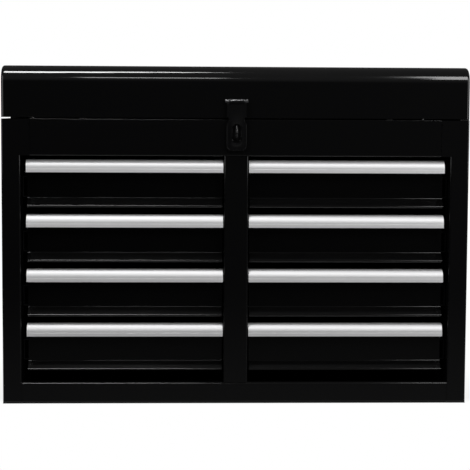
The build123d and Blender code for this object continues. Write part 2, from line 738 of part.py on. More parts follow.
def hasp_staple():
    """A bent rod that stands through the leaf's slot, on a plate fixed to the top rail."""
    half_height = STAPLE_PLATE_HEIGHT / 2
    plate_points = [(-HASP_WAIST / 2, -half_height), (HASP_WAIST / 2, -half_height)]
    plate_points += [(HASP_WAIST / 2, half_height), (-HASP_WAIST / 2, half_height)]
    plate = along_y(Pos(0, STAPLE_Z) * outline(plate_points), -HASP_SHEET, 0)
    low, high = STAPLE_Z - STAPLE_BEND, STAPLE_Z + STAPLE_BEND
    path = (
        Line((0, -HASP_SHEET / 2, low), (0, -STAPLE_LEG, low))
        + ThreePointArc((0, -STAPLE_LEG, low), (0, -STAPLE_LEG - STAPLE_BEND, STAPLE_Z), (0, -STAPLE_LEG, high))
        + Line((0, -STAPLE_LEG, high), (0, -HASP_SHEET / 2, high))
    )
    start = Plane(origin=(0, -HASP_SHEET / 2, low), z_dir=(0, -1, 0))
    return plate + sweep(start * RegularPolygon(STAPLE_WIRE, STAPLE_SIDES), path=path)


# The whole chest, one file for each sub-part

os.makedirs("parts", exist_ok=True)

side = left_side_panel()
write("left_side_panel", side)
write("right_side_panel", twin(side))
write("back_panel", back_panel())
write("bottom_pan", bottom_pan())
write("top_front_rail", top_front_rail())
write("till_floor", till_floor())
write("centre_partition", centre_partition())
write("centre_post", centre_post())
write("slide_uprights", *slide_uprights())
write("lid_shell", lid_shell())
write("hinge_body_leaf", hinge_leaf(-1, range(0, HINGE_KNUCKLES, 2)))
write("hinge_lid_leaf", hinge_leaf(1, range(1, HINGE_KNUCKLES, 2)))
write("hinge_pin", hinge_pin())
write("lid_bumpers", *lid_bumpers())
guide = stay_guide()
write("stay_guides", guide, twin(guide))
bracket = stay_pivot_bracket()
write("stay_pivots", bracket, twin(bracket))
stay = lid_stay()
write("lid_stay_left", stay)
write("lid_stay_right", twin(stay))
write("hasp_mount", hasp_mount())
write("hasp_pin", hasp_pin())
write("hasp_leaf", hasp_leaf())
write("hasp_staple", hasp_staple())

fixed_rails = []
for number, column, top in drawer_places():
    slide_z = top - PITCH / 2
    fixed_rails += slide_pair(fixed_member(), column, slide_z, SLIDE_START, SLIDE_END)
    write(f"drawer_{number}_tray", drawer_tray(column, top))
    write(f"drawer_{number}_pull", drawer_pull(column, top))
    write(f"drawer_{number}_rails", *slide_pair(moving_member(), column, slide_z, SLIDE_START, SLIDE_END))
    cage_end = CAGE_START + CAGE_LENGTH
    write(f"drawer_{number}_ball_cages", *slide_pair(ball_cage(), column, slide_z, CAGE_START, cage_end))
write("cabinet_rails", *fixed_rails)
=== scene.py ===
"""Looks of a steel top chest: hinged lid, hasp, and eight drawers with full-width aluminium pulls."""
import logging
import math
from dataclasses import dataclass, field
from enum import Enum
from typing import Iterable, Sequence

import bpy
import numpy as np
from mathutils import Matrix, Vector


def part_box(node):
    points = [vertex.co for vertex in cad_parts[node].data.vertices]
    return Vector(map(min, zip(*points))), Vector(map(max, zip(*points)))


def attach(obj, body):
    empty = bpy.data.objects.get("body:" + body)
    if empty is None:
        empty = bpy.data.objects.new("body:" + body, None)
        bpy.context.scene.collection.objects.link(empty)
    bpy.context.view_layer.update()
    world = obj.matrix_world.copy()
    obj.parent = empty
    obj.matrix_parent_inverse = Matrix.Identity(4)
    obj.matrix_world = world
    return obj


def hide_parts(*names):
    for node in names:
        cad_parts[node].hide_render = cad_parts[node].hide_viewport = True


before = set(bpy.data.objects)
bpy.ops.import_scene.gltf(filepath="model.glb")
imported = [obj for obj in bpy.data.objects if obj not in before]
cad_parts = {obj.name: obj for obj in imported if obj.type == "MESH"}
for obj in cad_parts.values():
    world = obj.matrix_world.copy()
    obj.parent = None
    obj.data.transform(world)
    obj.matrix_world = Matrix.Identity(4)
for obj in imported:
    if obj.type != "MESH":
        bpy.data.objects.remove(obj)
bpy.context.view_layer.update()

Pair = tuple[float, float]
Triple = tuple[float, float, float]
Radii = tuple[float, ...]

MILLIMETRES = 1000.0
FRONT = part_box("left_side_panel")[0].y * MILLIMETRES
SHARP_EDGE = math.radians(32.0)
LID_HEIGHT = 0.43
DRAWERS = range(1, 9)
WHITE = (1.0, 1.0, 1.0, 1.0)
LOG = logging.getLogger("chest")


class Slot(Enum):
    """The record's material slots, one for each finish."""

    CASE = "case_paint"
    LID = "lid_paint"
    DRAWER = "drawer_paint"
    HINGE = "hinge_paint"
    PULL = "pull_aluminium"
    SLIDE = "slide_zinc"
    CAGE = "cage_steel"
    STAY = "stay_zinc"
    HASP = "hasp_black"
    PIN = "pin_steel"
    RUBBER = "bumper_rubber"


class Axis(Enum):
    """The direction that a section is carried along, as the order of its columns in x, y and z."""

    X = (0, 1, 2)
    Y = (1, 0, 2)


# Surfaces as arrays, in millimetres, with y measured from the front of the posts

@dataclass
class Surface:
    """Points and faces of a piece.

    Each array in faces holds faces with the same number of corners.
    """

    points: np.ndarray
    faces: list[np.ndarray]

    def moved(self, x: float, y: float, z: float) -> "Surface":
        """Returns the surface shifted along the three axes."""
        return Surface(self.points + np.array([x, y, z]), self.faces)

    def mirrored(self) -> "Surface":
        """Returns the same piece on the other side of the middle plane."""
        return Surface(self.points * np.array([-1.0, 1.0, 1.0]), [face[:, ::-1] for face in self.faces])

    def repeated(self, shifts: np.ndarray) -> "Surface":
        """Copies the surface to several places.

        Args:
            shifts: One row of x, y and z for each copy.

        Returns:
            All copies as one surface: every point plus every shift, with the face numbers raised to match.
        """
        points = (self.points[None] + shifts[:, None]).reshape(-1, 3)
        starts = np.arange(len(shifts)) * len(self.points)
        faces = [(face[None] + starts[:, None, None]).reshape(-1, face.shape[1]) for face in self.faces]
        return Surface(points, faces)

    def outward(self) -> "Surface":
        """Turns the faces of a closed surface outward.

        Returns:
            The surface whose sum of the triple products of its faces' corners is positive.
        """
        centred = self.points - self.points.mean(0)
        volume = 0.0
        for face in self.faces:
            corners = centred[face]
            first = np.broadcast_to(corners[:, :1], corners[:, 1:-1].shape)
            volume += float((first * np.cross(corners[:, 1:-1], corners[:, 2:])).sum())
        return self if volume > 0 else Surface(self.points, [face[:, ::-1] for face in self.faces])


def joined(parts: Iterable[Surface]) -> Surface:
    """Puts several surfaces into one.

    Args:
        parts: The surfaces.

    Returns:
        All their points and faces, with the face numbers raised to match.
    """
    points, faces, start = [], [], 0
    for part in parts:
        points.append(part.points)
        faces += [face + start for face in part.faces]
        start += len(part.points)
    return Surface(np.concatenate(points), faces)


def node_box(node: str) -> list[list[float]]:
    """Returns a CAD node's lowest and highest corner in millimetres, with y from the front of the posts."""
    corners = np.array([list(corner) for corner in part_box(node)]) * MILLIMETRES
    return (corners - [0.0, FRONT, 0.0]).tolist()


def rectangle(left: float, low: float, right: float, high: float) -> np.ndarray:
    """Lists the corners of a rectangle, from (left, low) by way of (right, low)."""
    return np.array([(left, low), (right, low), (right, high), (left, high)])


def spots(x: np.ndarray | float, y: np.ndarray | float, z: np.ndarray | float) -> np.ndarray:
    """Lists points from their x, y and z, where a single number holds for all of them."""
    return np.stack(np.broadcast_arrays(x, y, z), -1).reshape(-1, 3)


def rays(angles: np.ndarray) -> np.ndarray:
    """Returns the cosine and the sine of each angle."""
    return np.stack([np.cos(angles), np.sin(angles)], -1)


def circle(sides: int) -> np.ndarray:
    """Returns points at equal angles on a circle with a radius of one."""
    return rays(np.linspace(0.0, 2 * math.pi, sides, endpoint=False))


def carried(rings: np.ndarray, places: np.ndarray) -> np.ndarray:
    """Puts a value along the axis before the two of each ring's points: one for each ring, or one for each point."""
    return np.concatenate([np.broadcast_to(places[..., None], (*rings.shape[:2], 1)), rings], -1)


def rounded(
    corners: Sequence[Sequence[float]],
    radii: Sequence[float],
    closed: bool = False,
    step: float = 9.0,
    guard: float = 0.4,
) -> np.ndarray:
    """Rounds the corners of a flat path.

    A corner's arc touches both of its runs. Its centre lies on the bisector, at the radius over the cosine of half
    the turn, and its points are blended between the two touching points with sines of the turn. On each long run a
    guard point stands a little beyond either end, so that a flat face shades flat.

    Args:
        corners: The corners, in order.
        radii: One radius for each corner.
        closed: Whether the last corner joins the first.
        step: The largest turn between two points of an arc, in degrees.
        guard: The distance of a guard point from its run's end.

    Returns:
        The path's points.
    """
    corners = np.asarray(corners, float)
    count = len(corners)
    pieces = []
    for index, (spot, radius) in enumerate(zip(corners, radii)):
        if radius <= 0 or (not closed and index in (0, count - 1)):
            pieces.append(spot[None])
            continue
        back = corners[index - 1] - spot
        ahead = corners[(index + 1) % count] - spot
        back, ahead = back / np.linalg.norm(back), ahead / np.linalg.norm(ahead)
        turn = math.pi - math.acos(float(np.clip(back @ ahead, -1.0, 1.0)))
        reach = radius * math.tan(turn / 2)
        middle = (back + ahead) / np.linalg.norm(back + ahead)
        centre = spot + middle * radius / math.cos(turn / 2)
        share = np.linspace(0.0, 1.0, max(3, math.ceil(math.degrees(turn) / step) + 1))[:, None]
        first, last = spot + back * reach - centre, spot + ahead * reach - centre
        pieces.append(centre + (np.sin((1 - share) * turn) * first + np.sin(share * turn) * last) / math.sin(turn))
    points = np.concatenate(pieces)
    ends = np.roll(points, -1, 0) if closed else points[1:]
    starts = points if closed else points[:-1]
    lengths = np.linalg.norm(ends - starts, axis=1, keepdims=True)
    inward = guard * (ends - starts) / lengths
    long = np.flatnonzero(lengths[:, 0] > 5 * guard)
    # Only a run with room for both gets guard points, and the keys sort them between its ends
    keys = np.concatenate([np.arange(len(points)), long + 0.3, long + 0.6])
    every = np.concatenate([points, (starts + inward)[long], (ends - inward)[long]])
    return every[np.argsort(keys, kind="stable")]


def side_steps(points: np.ndarray, closed: bool = False) -> np.ndarray:
    """Works out the step to the left of a flat path that moves each of its runs sideways by one.

    Args:
        points: The path's points.
        closed: Whether the last point joins the first.

    Returns:
        For each point the sum of its two runs' left normals over one plus their dot product.
    """
    runs = np.roll(points, -1, 0) - points if closed else np.diff(points, axis=0)
    runs = runs / np.linalg.norm(runs, axis=1, keepdims=True)
    left = np.stack([-runs[:, 1], runs[:, 0]], 1)
    before = np.roll(left, 1, 0) if closed else np.concatenate([left[:1], left])
    after = left if closed else np.concatenate([left, left[-1:]])
    return (before + after) / (1 + (before * after).sum(1, keepdims=True))


def grid(rows: int, columns: int, rings: bool = True, loop: bool = False) -> np.ndarray:
    """Lists the four-sided faces of a grid of points.

    Args:
        rows: The number of rows.
        columns: The number of points in a row.
        rings: Whether the last point of a row joins its first.
        loop: Whether the last row joins the first.

    Returns:
        The numbers of each face's corners: a point, the next in its row, and those two in the next row.
    """
    row, column = np.meshgrid(np.arange(rows - 1 + loop), np.arange(columns - 1 + rings), indexing="ij")
    below, after = (row + 1) % rows, (column + 1) % columns
    corners = [row * columns + column, row * columns + after, below * columns + after, below * columns + column]
    return np.stack(corners, -1).reshape(-1, 4)


def prism(
    outline: np.ndarray, start: float, end: float, axis: Axis, bevel: float = 0.0, thin: bool = False
) -> Surface:
    """Carries a closed outline along an axis and closes both ends.

    Args:
        outline: The section's points.
        start: Where the piece starts on the axis.
        end: Where it ends.
        axis: The direction that the section is carried in.
        bevel: How far the ends are cut back, along the axis and into the section alike.
        thin: Whether the section is a strip, whose ends are closed by a row of faces across it.

    Returns:
        The closed surface: the outline at each station, moved inwards by that station's inset.
    """
    following = np.roll(outline, -1, 0)
    area = float((outline[:, 0] * following[:, 1] - following[:, 0] * outline[:, 1]).sum())
    ring = outline if area > 0 else outline[::-1]
    stations, insets = np.array([start, end]), np.zeros(2)
    if bevel:
        # Beside each bevel a second station keeps the sides flat in the shading
        stations = np.array([start, start + bevel, start + 4 * bevel, end - 4 * bevel, end - bevel, end])
        insets = np.array([bevel, 0.0, 0.0, 0.0, 0.0, bevel])
    flat = ring + insets[:, None, None] * side_steps(ring, True)
    points = carried(flat, stations[:, None]).reshape(-1, 3)[:, list(axis.value)]
    rows, columns = len(stations), len(ring)
    cap = np.arange(columns)[None]
    if thin:
        near = np.arange(columns // 2 - 1)
        cap = np.stack([near, near + 1, columns - 2 - near, columns - 1 - near], -1)
    return Surface(points, [grid(rows, columns), cap[:, ::-1], cap + (rows - 1) * columns]).outward()


def folded(path: np.ndarray, thickness: float, start: float, end: float, axis: Axis) -> Surface:
    """Makes a folded sheet whose section follows a path, with the sheet on the path's left.

    Args:
        path: The points of one face of the sheet.
        thickness: The sheet's thickness.
        start: Where the piece starts on the axis.
        end: Where it ends.
        axis: The direction that the section is carried in.

    Returns:
        The closed surface: the path, and the path moved left by the thickness, with its ends closed in strips.
    """
    far = path + thickness * side_steps(path)
    return prism(np.concatenate([path, far[::-1]]), start, end, axis, thin=True)


def lathe(radii: np.ndarray, heights: np.ndarray, sides: int, top: float, base: float | None = None) -> Surface:
    """Turns a profile round the z axis.

    Args:
        radii: The profile's radii, from the base up.
        heights: Its heights.
        sides: The number of points in each ring.
        top: The height of the point that closes the top.
        base: The height of the point that closes the base, or None for a flat base.

    Returns:
        The closed surface: each ring is its radius times the cosine and sine of equal angles.
    """
    points = carried(radii[:, None, None] * circle(sides), heights[:, None]).reshape(-1, 3)[:, [1, 2, 0]]
    rows, column = len(radii), np.arange(sides)
    faces = [grid(rows, sides)]
    for pole, row in ((base, 0), (top, rows - 1)):
        ends = column + row * sides
        after = (column + 1) % sides + row * sides
        if pole is None:
            faces.append(ends[None, ::-1])
            continue
        tip = np.full(sides, len(points))
        points = np.concatenate([points, [[0.0, 0.0, pole]]])
        faces.append(np.stack([ends, after, tip] if row else [after, ends, tip], -1))
    return Surface(points, faces).outward()


def looped(rings: np.ndarray) -> Surface:
    """Joins closed rings in their order, and the last one to the first, into a solid with a hole through it."""
    return Surface(rings.reshape(-1, 3), [grid(*rings.shape[:2], loop=True)]).outward()


def sleeve(radius: float, bore: float, length: float, sides: int, edge: float = 0.25) -> Surface:
    """Makes a tube along x from the origin.

    Args:
        radius: The outer radius.
        bore: The inner radius.
        length: The length.
        sides: The number of points round it.
        edge: How far its outer edges are eased.

    Returns:
        The tube: circles of the bore and of the outside, joined in a loop.
    """
    sizes = np.array([bore, radius - edge, radius, radius, radius - edge, bore])
    places = np.array([0.0, 0.0, edge, length - edge, length, length])
    return looped(carried(sizes[:, None, None] * circle(sides), places[:, None]))


def polar_reach(outline: np.ndarray, angles: np.ndarray) -> np.ndarray:
    """Works out how far a closed outline lies from the origin along each angle.

    Args:
        outline: The outline's points. Each ray from the origin meets it once.
        angles: The rays' angles.

    Returns:
        The distances: the cross product of an edge's two ends over that of the ray and the edge.
    """
    bearing = np.arctan2(outline[:, 1], outline[:, 0]) % (2 * math.pi)
    order = np.argsort(bearing)
    index = np.searchsorted(bearing[order], angles % (2 * math.pi), side="right") % len(order)
    first, last = outline[order][index - 1], outline[order][index]
    edge, ray = last - first, rays(angles)
    whole = first[:, 0] * last[:, 1] - first[:, 1] * last[:, 0]
    return whole / (ray[:, 0] * edge[:, 1] - ray[:, 1] * edge[:, 0])


def rivet(radius: float, height: float, side: int = -1) -> Surface:
    """Makes a domed rivet head on the plane y = 0.

    Args:
        radius: The head's radius.
        height: The dome's height.
        side: -1 for a head that stands out to the front, and 1 to the rear.

    Returns:
        The head: an arc, flat at its top and steep at its rim, turned round the y axis.
    """
    angle = np.radians([0.0, 20.0, 40.0, 60.0, 78.0])
    head = lathe(radius * np.cos(angle), height * np.sin(angle), 20, height)
    x, y, z = head.points.T
    return Surface(np.stack([x, side * z, y], -1), head.faces).outward()


def wire(path: np.ndarray, radius: float, sides: int) -> Surface:
    """Makes a round wire along a path in the plane of y and z.

    Args:
        path: The wire's middle line.
        radius: The wire's radius.
        sides: The number of points round it.

    Returns:
        The closed surface: at each point of the path a circle spanned by the path's side step and the x axis.
    """
    ring = radius * circle(sides)
    flat = path[:, None] + ring[:, :1] * side_steps(path)[:, None]
    points = carried(flat, ring[None, :, 1]).reshape(-1, 3)
    column = np.arange(sides)
    caps = np.stack([column[::-1], column + (len(path) - 1) * sides])
    return Surface(points, [grid(len(path), sides), caps]).outward()


# Shader graphs

class Wire:
    """A shader socket on which arithmetic adds Math nodes."""

    def __init__(self, graph: "Graph", socket: bpy.types.NodeSocket) -> None:
        """Keeps the graph and the socket."""
        self.graph = graph
        self.socket = socket

    def __add__(self, other: "Wire | float") -> "Wire":
        """Adds."""
        return self.graph.maths("ADD", self, other)

    __radd__ = __add__

    def __sub__(self, other: "Wire | float") -> "Wire":
        """Takes away."""
        return self.graph.maths("SUBTRACT", self, other)

    def __rsub__(self, other: float) -> "Wire":
        """Takes this from a number."""
        return self.graph.maths("SUBTRACT", other, self)

    def __mul__(self, other: "Wire | float") -> "Wire":
        """Multiplies."""
        return self.graph.maths("MULTIPLY", self, other)

    __rmul__ = __mul__

    def other(self, output: str) -> "Wire":
        """Returns another output of the same node."""
        return Wire(self.graph, self.socket.node.outputs[output])


class Graph:
    """The node tree of a material or of the world."""

    def __init__(self, holder: bpy.types.Material | bpy.types.World) -> None:
        """Starts with the Object coordinates alone.

        Args:
            holder: The material or world that the tree belongs to.
        """
        holder.use_nodes = True
        self.holder = holder
        self.tree = holder.node_tree
        self.tree.nodes.clear()
        self.place = self.node("TexCoord", "Object")

    def node(
        self, kind: str, output: str | int | None, settings: dict | None = None, values: dict | None = None
    ) -> Wire | None:
        """Adds a node.

        Args:
            kind: The node's type, without its leading word.
            output: The output that is used.
            settings: The node's own settings.
            values: A value or a link for each socket, by name or number.

        Returns:
            The chosen output, or None for a node that has no outputs.
        """
        made = self.tree.nodes.new("ShaderNode" + kind)
        for key, value in (settings or {}).items():
            setattr(made, key, value)
        for key, value in (values or {}).items():
            if isinstance(value, Wire):
                self.tree.links.new(value.socket, made.inputs[key])
            else:
                made.inputs[key].default_value = value
        return Wire(self, made.outputs[output]) if made.outputs else None

    def maths(self, operation: str, first: Wire | float, second: Wire | float = 0.0) -> Wire:
        """Adds a Math node."""
        return self.node("Math", 0, {"operation": operation}, {0: first, 1: second})

    def limited(self, value: Wire) -> Wire:
        """Keeps a value between nought and one."""
        return self.node("Clamp", 0, None, {"Value": value})

    def split(self, vector: Wire, axis: str) -> Wire:
        """Returns one of a vector's three numbers."""
        return self.node("SeparateXYZ", axis, None, {0: vector})

    def noise(self, scale: float | Triple, detail: float) -> Wire:
        """Adds a noise texture on the Object coordinates.

        Args:
            scale: The scale, or one for each axis, which stretches the texture.
            detail: The number of finer layers.

        Returns:
            The texture's height.
        """
        place = self.place
        if isinstance(scale, tuple):
            place, scale = self.node("Mapping", 0, None, {"Vector": place, "Scale": scale}), 1.0
        return self.node("TexNoise", 0, None, {"Vector": place, "Scale": scale, "Detail": detail})

    def blend(self, share: Wire, first: Triple, second: Triple) -> Wire:
        """Blends two colours by a share."""
        colours = {0: share, 6: (*first, 1.0), 7: (*second, 1.0)}
        return self.node("Mix", 2, {"data_type": "RGBA"}, colours)

    def bump(self, height: Wire, depth: float) -> Wire:
        """Turns a height into a bump of a depth in metres."""
        return self.node("Bump", 0, None, {"Height": height, "Distance": depth, "Strength": 1.0})

    def finish(self, colour: Wire, roughness: Wire, normal: Wire, metallic: float = 0.0) -> bpy.types.Material:
        """Closes the graph with the main shader.

        Args:
            colour: The surface's colour.
            roughness: Its roughness.
            normal: Its bump.
            metallic: 1 for bare metal.

        Returns:
            The material.
        """
        values = {"Base Color": colour, "Roughness": roughness, "Normal": normal, "Metallic": metallic, "IOR": 1.5}
        self.close(self.node("BsdfPrincipled", 0, None, values))
        return self.holder

    def close(self, shader: Wire, kind: str = "OutputMaterial") -> None:
        """Links a shader to the tree's output."""
        self.node(kind, None, None, {"Surface": shader})


@dataclass(frozen=True)
class BlackEnamel:
    """Stoved black enamel: a mirror-like coat with faint orange peel, clouding in the gloss, and a little dust.

    Peel is the bump's depth in metres. Clouding and dulling say how much the clouds and the dust add to the roughness.
    """

    slot: Slot
    shade: float = 0.0033
    gloss: float = 0.07
    peel: float = 0.000005
    dust: float = 0.25
    dust_colour: Triple = (0.06, 0.058, 0.055)
    specks: Pair = (2.0, 0.7)
    tint: float = 1.06
    clouding: float = 0.05
    dulling: float = 0.4
    cloud_scale: float = 11.0
    grain_scale: float = 2600.0
    peel_scales: Pair = (330.0, 950.0)

    def material(self) -> bpy.types.Material:
        """Builds the enamel.

        Returns:
            The material. Its dust is grain above a threshold, times clouds, where the surface faces up.
        """
        graph = Graph(bpy.data.materials.new(self.slot.value))
        cloud = graph.noise(self.cloud_scale, 3.0)
        grain = graph.noise(self.grain_scale, 1.0)
        upward = graph.split(graph.node("NewGeometry", "Normal"), "Z")
        gain, threshold = self.specks
        dust = graph.limited(upward * self.dust) * graph.limited(grain * gain - threshold) * cloud
        colour = graph.blend(dust, (self.shade, self.shade, self.shade * self.tint), self.dust_colour)
        roughness = cloud * self.clouding + (self.gloss - 0.4 * self.clouding) + dust * self.dulling
        broad, fine = self.peel_scales
        peel = graph.noise(broad, 2.0) + graph.noise(fine, 1.0) * 0.3
        return graph.finish(colour, roughness, graph.bump(peel, self.peel))


@dataclass(frozen=True)
class SatinAluminium:
    """Drawn and anodised aluminium: fine lines along the extrusion, which vary in tone and in gloss.

    Lining and clouding say how much the lines and the clouds change the roughness. Relief is the lines' depth in
    metres.
    """

    slot: Slot = Slot.PULL
    tone: float = 0.94
    matt: float = 0.64
    contrast: float = 0.06
    lining: float = 0.12
    clouding: float = 0.05
    relief: float = 0.000012
    wide_lines: Triple = (3.0, 700.0, 700.0)
    fine_lines: Triple = (14.0, 4200.0, 4200.0)
    cloud_scale: float = 24.0

    def material(self) -> bpy.types.Material:
        """Builds the aluminium.

        Returns:
            The material. Two noises that are stretched along x, broad and fine, make its lines.
        """
        graph = Graph(bpy.data.materials.new(self.slot.value))
        lines = graph.noise(self.wide_lines, 3.0) * 0.5 + graph.noise(self.fine_lines, 2.0) * 0.5
        low, high = self.tone - self.contrast, self.tone + self.contrast
        colour = graph.blend(lines, (low, low, low + 0.01), (high, high, high))
        roughness = lines * self.lining + graph.noise(self.cloud_scale, 2.0) * self.clouding
        roughness = roughness + (self.matt - 0.5 * (self.lining + self.clouding))
        return graph.finish(colour, roughness, graph.bump(lines, self.relief), 1.0)


@dataclass(frozen=True)
class PlatedSteel:
    """Plated or bare steel: rolling lines along one axis, and cloudy patches of tone.

    The tone varies between itself times the two numbers of spread. The rest is as on the aluminium.
    """

    slot: Slot
    tone: Triple
    matt: float
    lines: Triple = (900.0, 12.0, 900.0)
    spread: Pair = (0.78, 1.2)
    lining: float = 0.14
    clouding: float = 0.08
    relief: float = 0.00001
    patch_scale: float = 160.0
    cloud_scale: float = 40.0

    def material(self) -> bpy.types.Material:
        """Builds the steel.

        Returns:
            The material. Its patches are cells and clouds in equal shares.
        """
        graph = Graph(bpy.data.materials.new(self.slot.value))
        drawn = graph.noise(self.lines, 2.0)
        patch = graph.node("TexVoronoi", "Color", None, {"Vector": graph.place, "Scale": self.patch_scale})
        cloud = graph.split(patch, "X") * 0.5 + graph.noise(self.cloud_scale, 3.0) * 0.5
        low, high = (tuple(share * part for part in self.tone) for share in self.spread)
        roughness = drawn * self.lining + cloud * self.clouding
        roughness = roughness + (self.matt - 0.5 * (self.lining + self.clouding))
        return graph.finish(graph.blend(cloud, low, high), roughness, graph.bump(drawn, self.relief), 1.0)


@dataclass(frozen=True)
class BlackRubber:
    """Moulded black rubber with a fine grain."""

    slot: Slot = Slot.RUBBER
    shades: Pair = (0.004, 0.014)
    matt: float = 0.7
    unevenness: float = 0.2
    relief: float = 0.00004
    grain_scale: float = 1800.0

    def material(self) -> bpy.types.Material:
        """Builds the rubber.

        Returns:
            The material.
        """
        graph = Graph(bpy.data.materials.new(self.slot.value))
        grain = graph.noise(self.grain_scale, 3.0)
        low, high = self.shades
        colour = graph.blend(grain, (low, low, low), (high, high, high))
        return graph.finish(colour, grain * self.unevenness + self.matt, graph.bump(grain, self.relief))


class Workshop:
    """Holds the finishes, and makes and dresses the pieces."""

    def __init__(self) -> None:
        """Builds one material for each slot."""
        finishes = [
            BlackEnamel(Slot.CASE),
            BlackEnamel(Slot.LID),
            # The drawers' enamel is a darker copy of the case's enamel: painted shade on the recessed drawer fronts
            # and their skirts.
            BlackEnamel(Slot.DRAWER, shade=0.0018, dust=0.1, peel=0.000002),
            BlackEnamel(Slot.HINGE, gloss=0.14, peel=0.000008),
            BlackEnamel(Slot.HASP, shade=0.0046, peel=0.000008),
            SatinAluminium(),
            # The slides' near-black tone is painted shade: it keeps them dark in the gaps beside the drawer fronts.
            PlatedSteel(Slot.SLIDE, (0.035, 0.036, 0.038), 0.40),
            PlatedSteel(Slot.CAGE, (0.48, 0.48, 0.47), 0.36),
            PlatedSteel(Slot.STAY, (0.58, 0.58, 0.60), 0.26, (700.0, 60.0, 60.0)),
            PlatedSteel(Slot.PIN, (0.26, 0.26, 0.265), 0.2, (12.0, 900.0, 900.0)),
            BlackRubber(),
        ]
        self.materials = {finish.slot: finish.material() for finish in finishes}

    def dress(self, slot: Slot, nodes: Iterable[str]) -> None:
        """Gives CAD nodes a finish.

        Args:
            slot: The finish.
            nodes: The nodes' names.
        """
        for name in nodes:
            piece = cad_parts[name]
            if not piece.material_slots:
                piece.data.materials.append(self.materials[slot])
            for holder in piece.material_slots:
                holder.material = self.materials[slot]
            LOG.info("dressed %s in %s", name, slot.value)

    def make(self, name: str, surface: Surface, body: str, slot: Slot, replaces: Sequence[str] = ()) -> None:
        """Makes a piece from a surface, with its object at the origin, and hangs it on its body.

        Args:
            name: The piece's name.
            surface: Its points and faces.
            body: The body that it moves with.
            slot: Its finish.
            replaces: The CAD nodes that it stands for.
        """
        mesh = bpy.data.meshes.new(name)
        points = (surface.points + np.array([0.0, FRONT, 0.0])) / MILLIMETRES
        mesh.from_pydata(points.tolist(), [], [row for face in surface.faces for row in face.tolist()])
        mesh.shade_smooth()
        mesh.set_sharp_from_angle(angle=SHARP_EDGE)
        mesh.materials.append(self.materials[slot])
        piece = bpy.data.objects.new(name, mesh)
        bpy.context.scene.collection.objects.link(piece)
        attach(piece, body)
        if replaces:
            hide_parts(*replaces)
        LOG.info("made %s: %d points", name, len(points))


# The chest

@dataclass
class Case:
    """The folded steel case, whose sheets are the CAD's own."""

    sheets: tuple[str, ...] = (
        "left_side_panel", "right_side_panel", "back_panel", "bottom_pan",
        "till_floor", "centre_partition", "centre_post", "slide_uprights",
    )
    sheet: float = 1.0
    flange: float = 10.0
    folds: Pair = (0.35, 1.6)
    seal: Pair = (11.4, 1.96)
    seal_starts: Pair = (106.0, 1.5)
    seal_inset: float = 0.5
    seal_edge: float = 0.3
    seal_bevel: float = 0.2

    def top_rail(self) -> Surface:
        """Makes the rail under the lid.

        Returns:
            A channel with a tight fold at its top and a softer one below, carried along x.
        """
        (left, front, low), (right, rear, high) = node_box("top_front_rail")
        path = [(self.flange, high), (front, high), (front, low), (rear, low)]
        section = rounded(path, [0.0, *self.folds, 0.0], False, 7.0, 0.2)
        return folded(section, self.sheet, left, right, Axis.X)

    def seals(self) -> Surface:
        """Makes the two rubber strips on the side flanges that the lid closes on.

        Returns:
            Both strips, each with eased upper edges and carried along y.
        """
        (left, _, _), (_, rear, high) = node_box("left_side_panel")
        left, rear = left + self.seal_inset, rear - self.seal_inset
        width, thick = self.seal
        corners = rectangle(left, high, left + width, high + thick)
        section = rounded(corners, [0.0, 0.0, self.seal_edge, self.seal_edge], True)
        strips = [prism(section, start, rear, Axis.Y, self.seal_bevel) for start in self.seal_starts]
        return joined([strips[0], strips[1].mirrored()])

    def build(self, shop: Workshop) -> None:
        """Makes the rail and the strips, paints the sheets and gives the lid's pads their rubber.

        Args:
            shop: The workshop that makes and dresses the pieces.
        """
        shop.make("upper_front_rail", self.top_rail(), "cabinet", Slot.CASE, ["top_front_rail"])
        shop.make("till_edge_strips", self.seals(), "cabinet", Slot.RUBBER)
        shop.dress(Slot.CASE, self.sheets)
        shop.dress(Slot.RUBBER, ["lid_bumpers"])


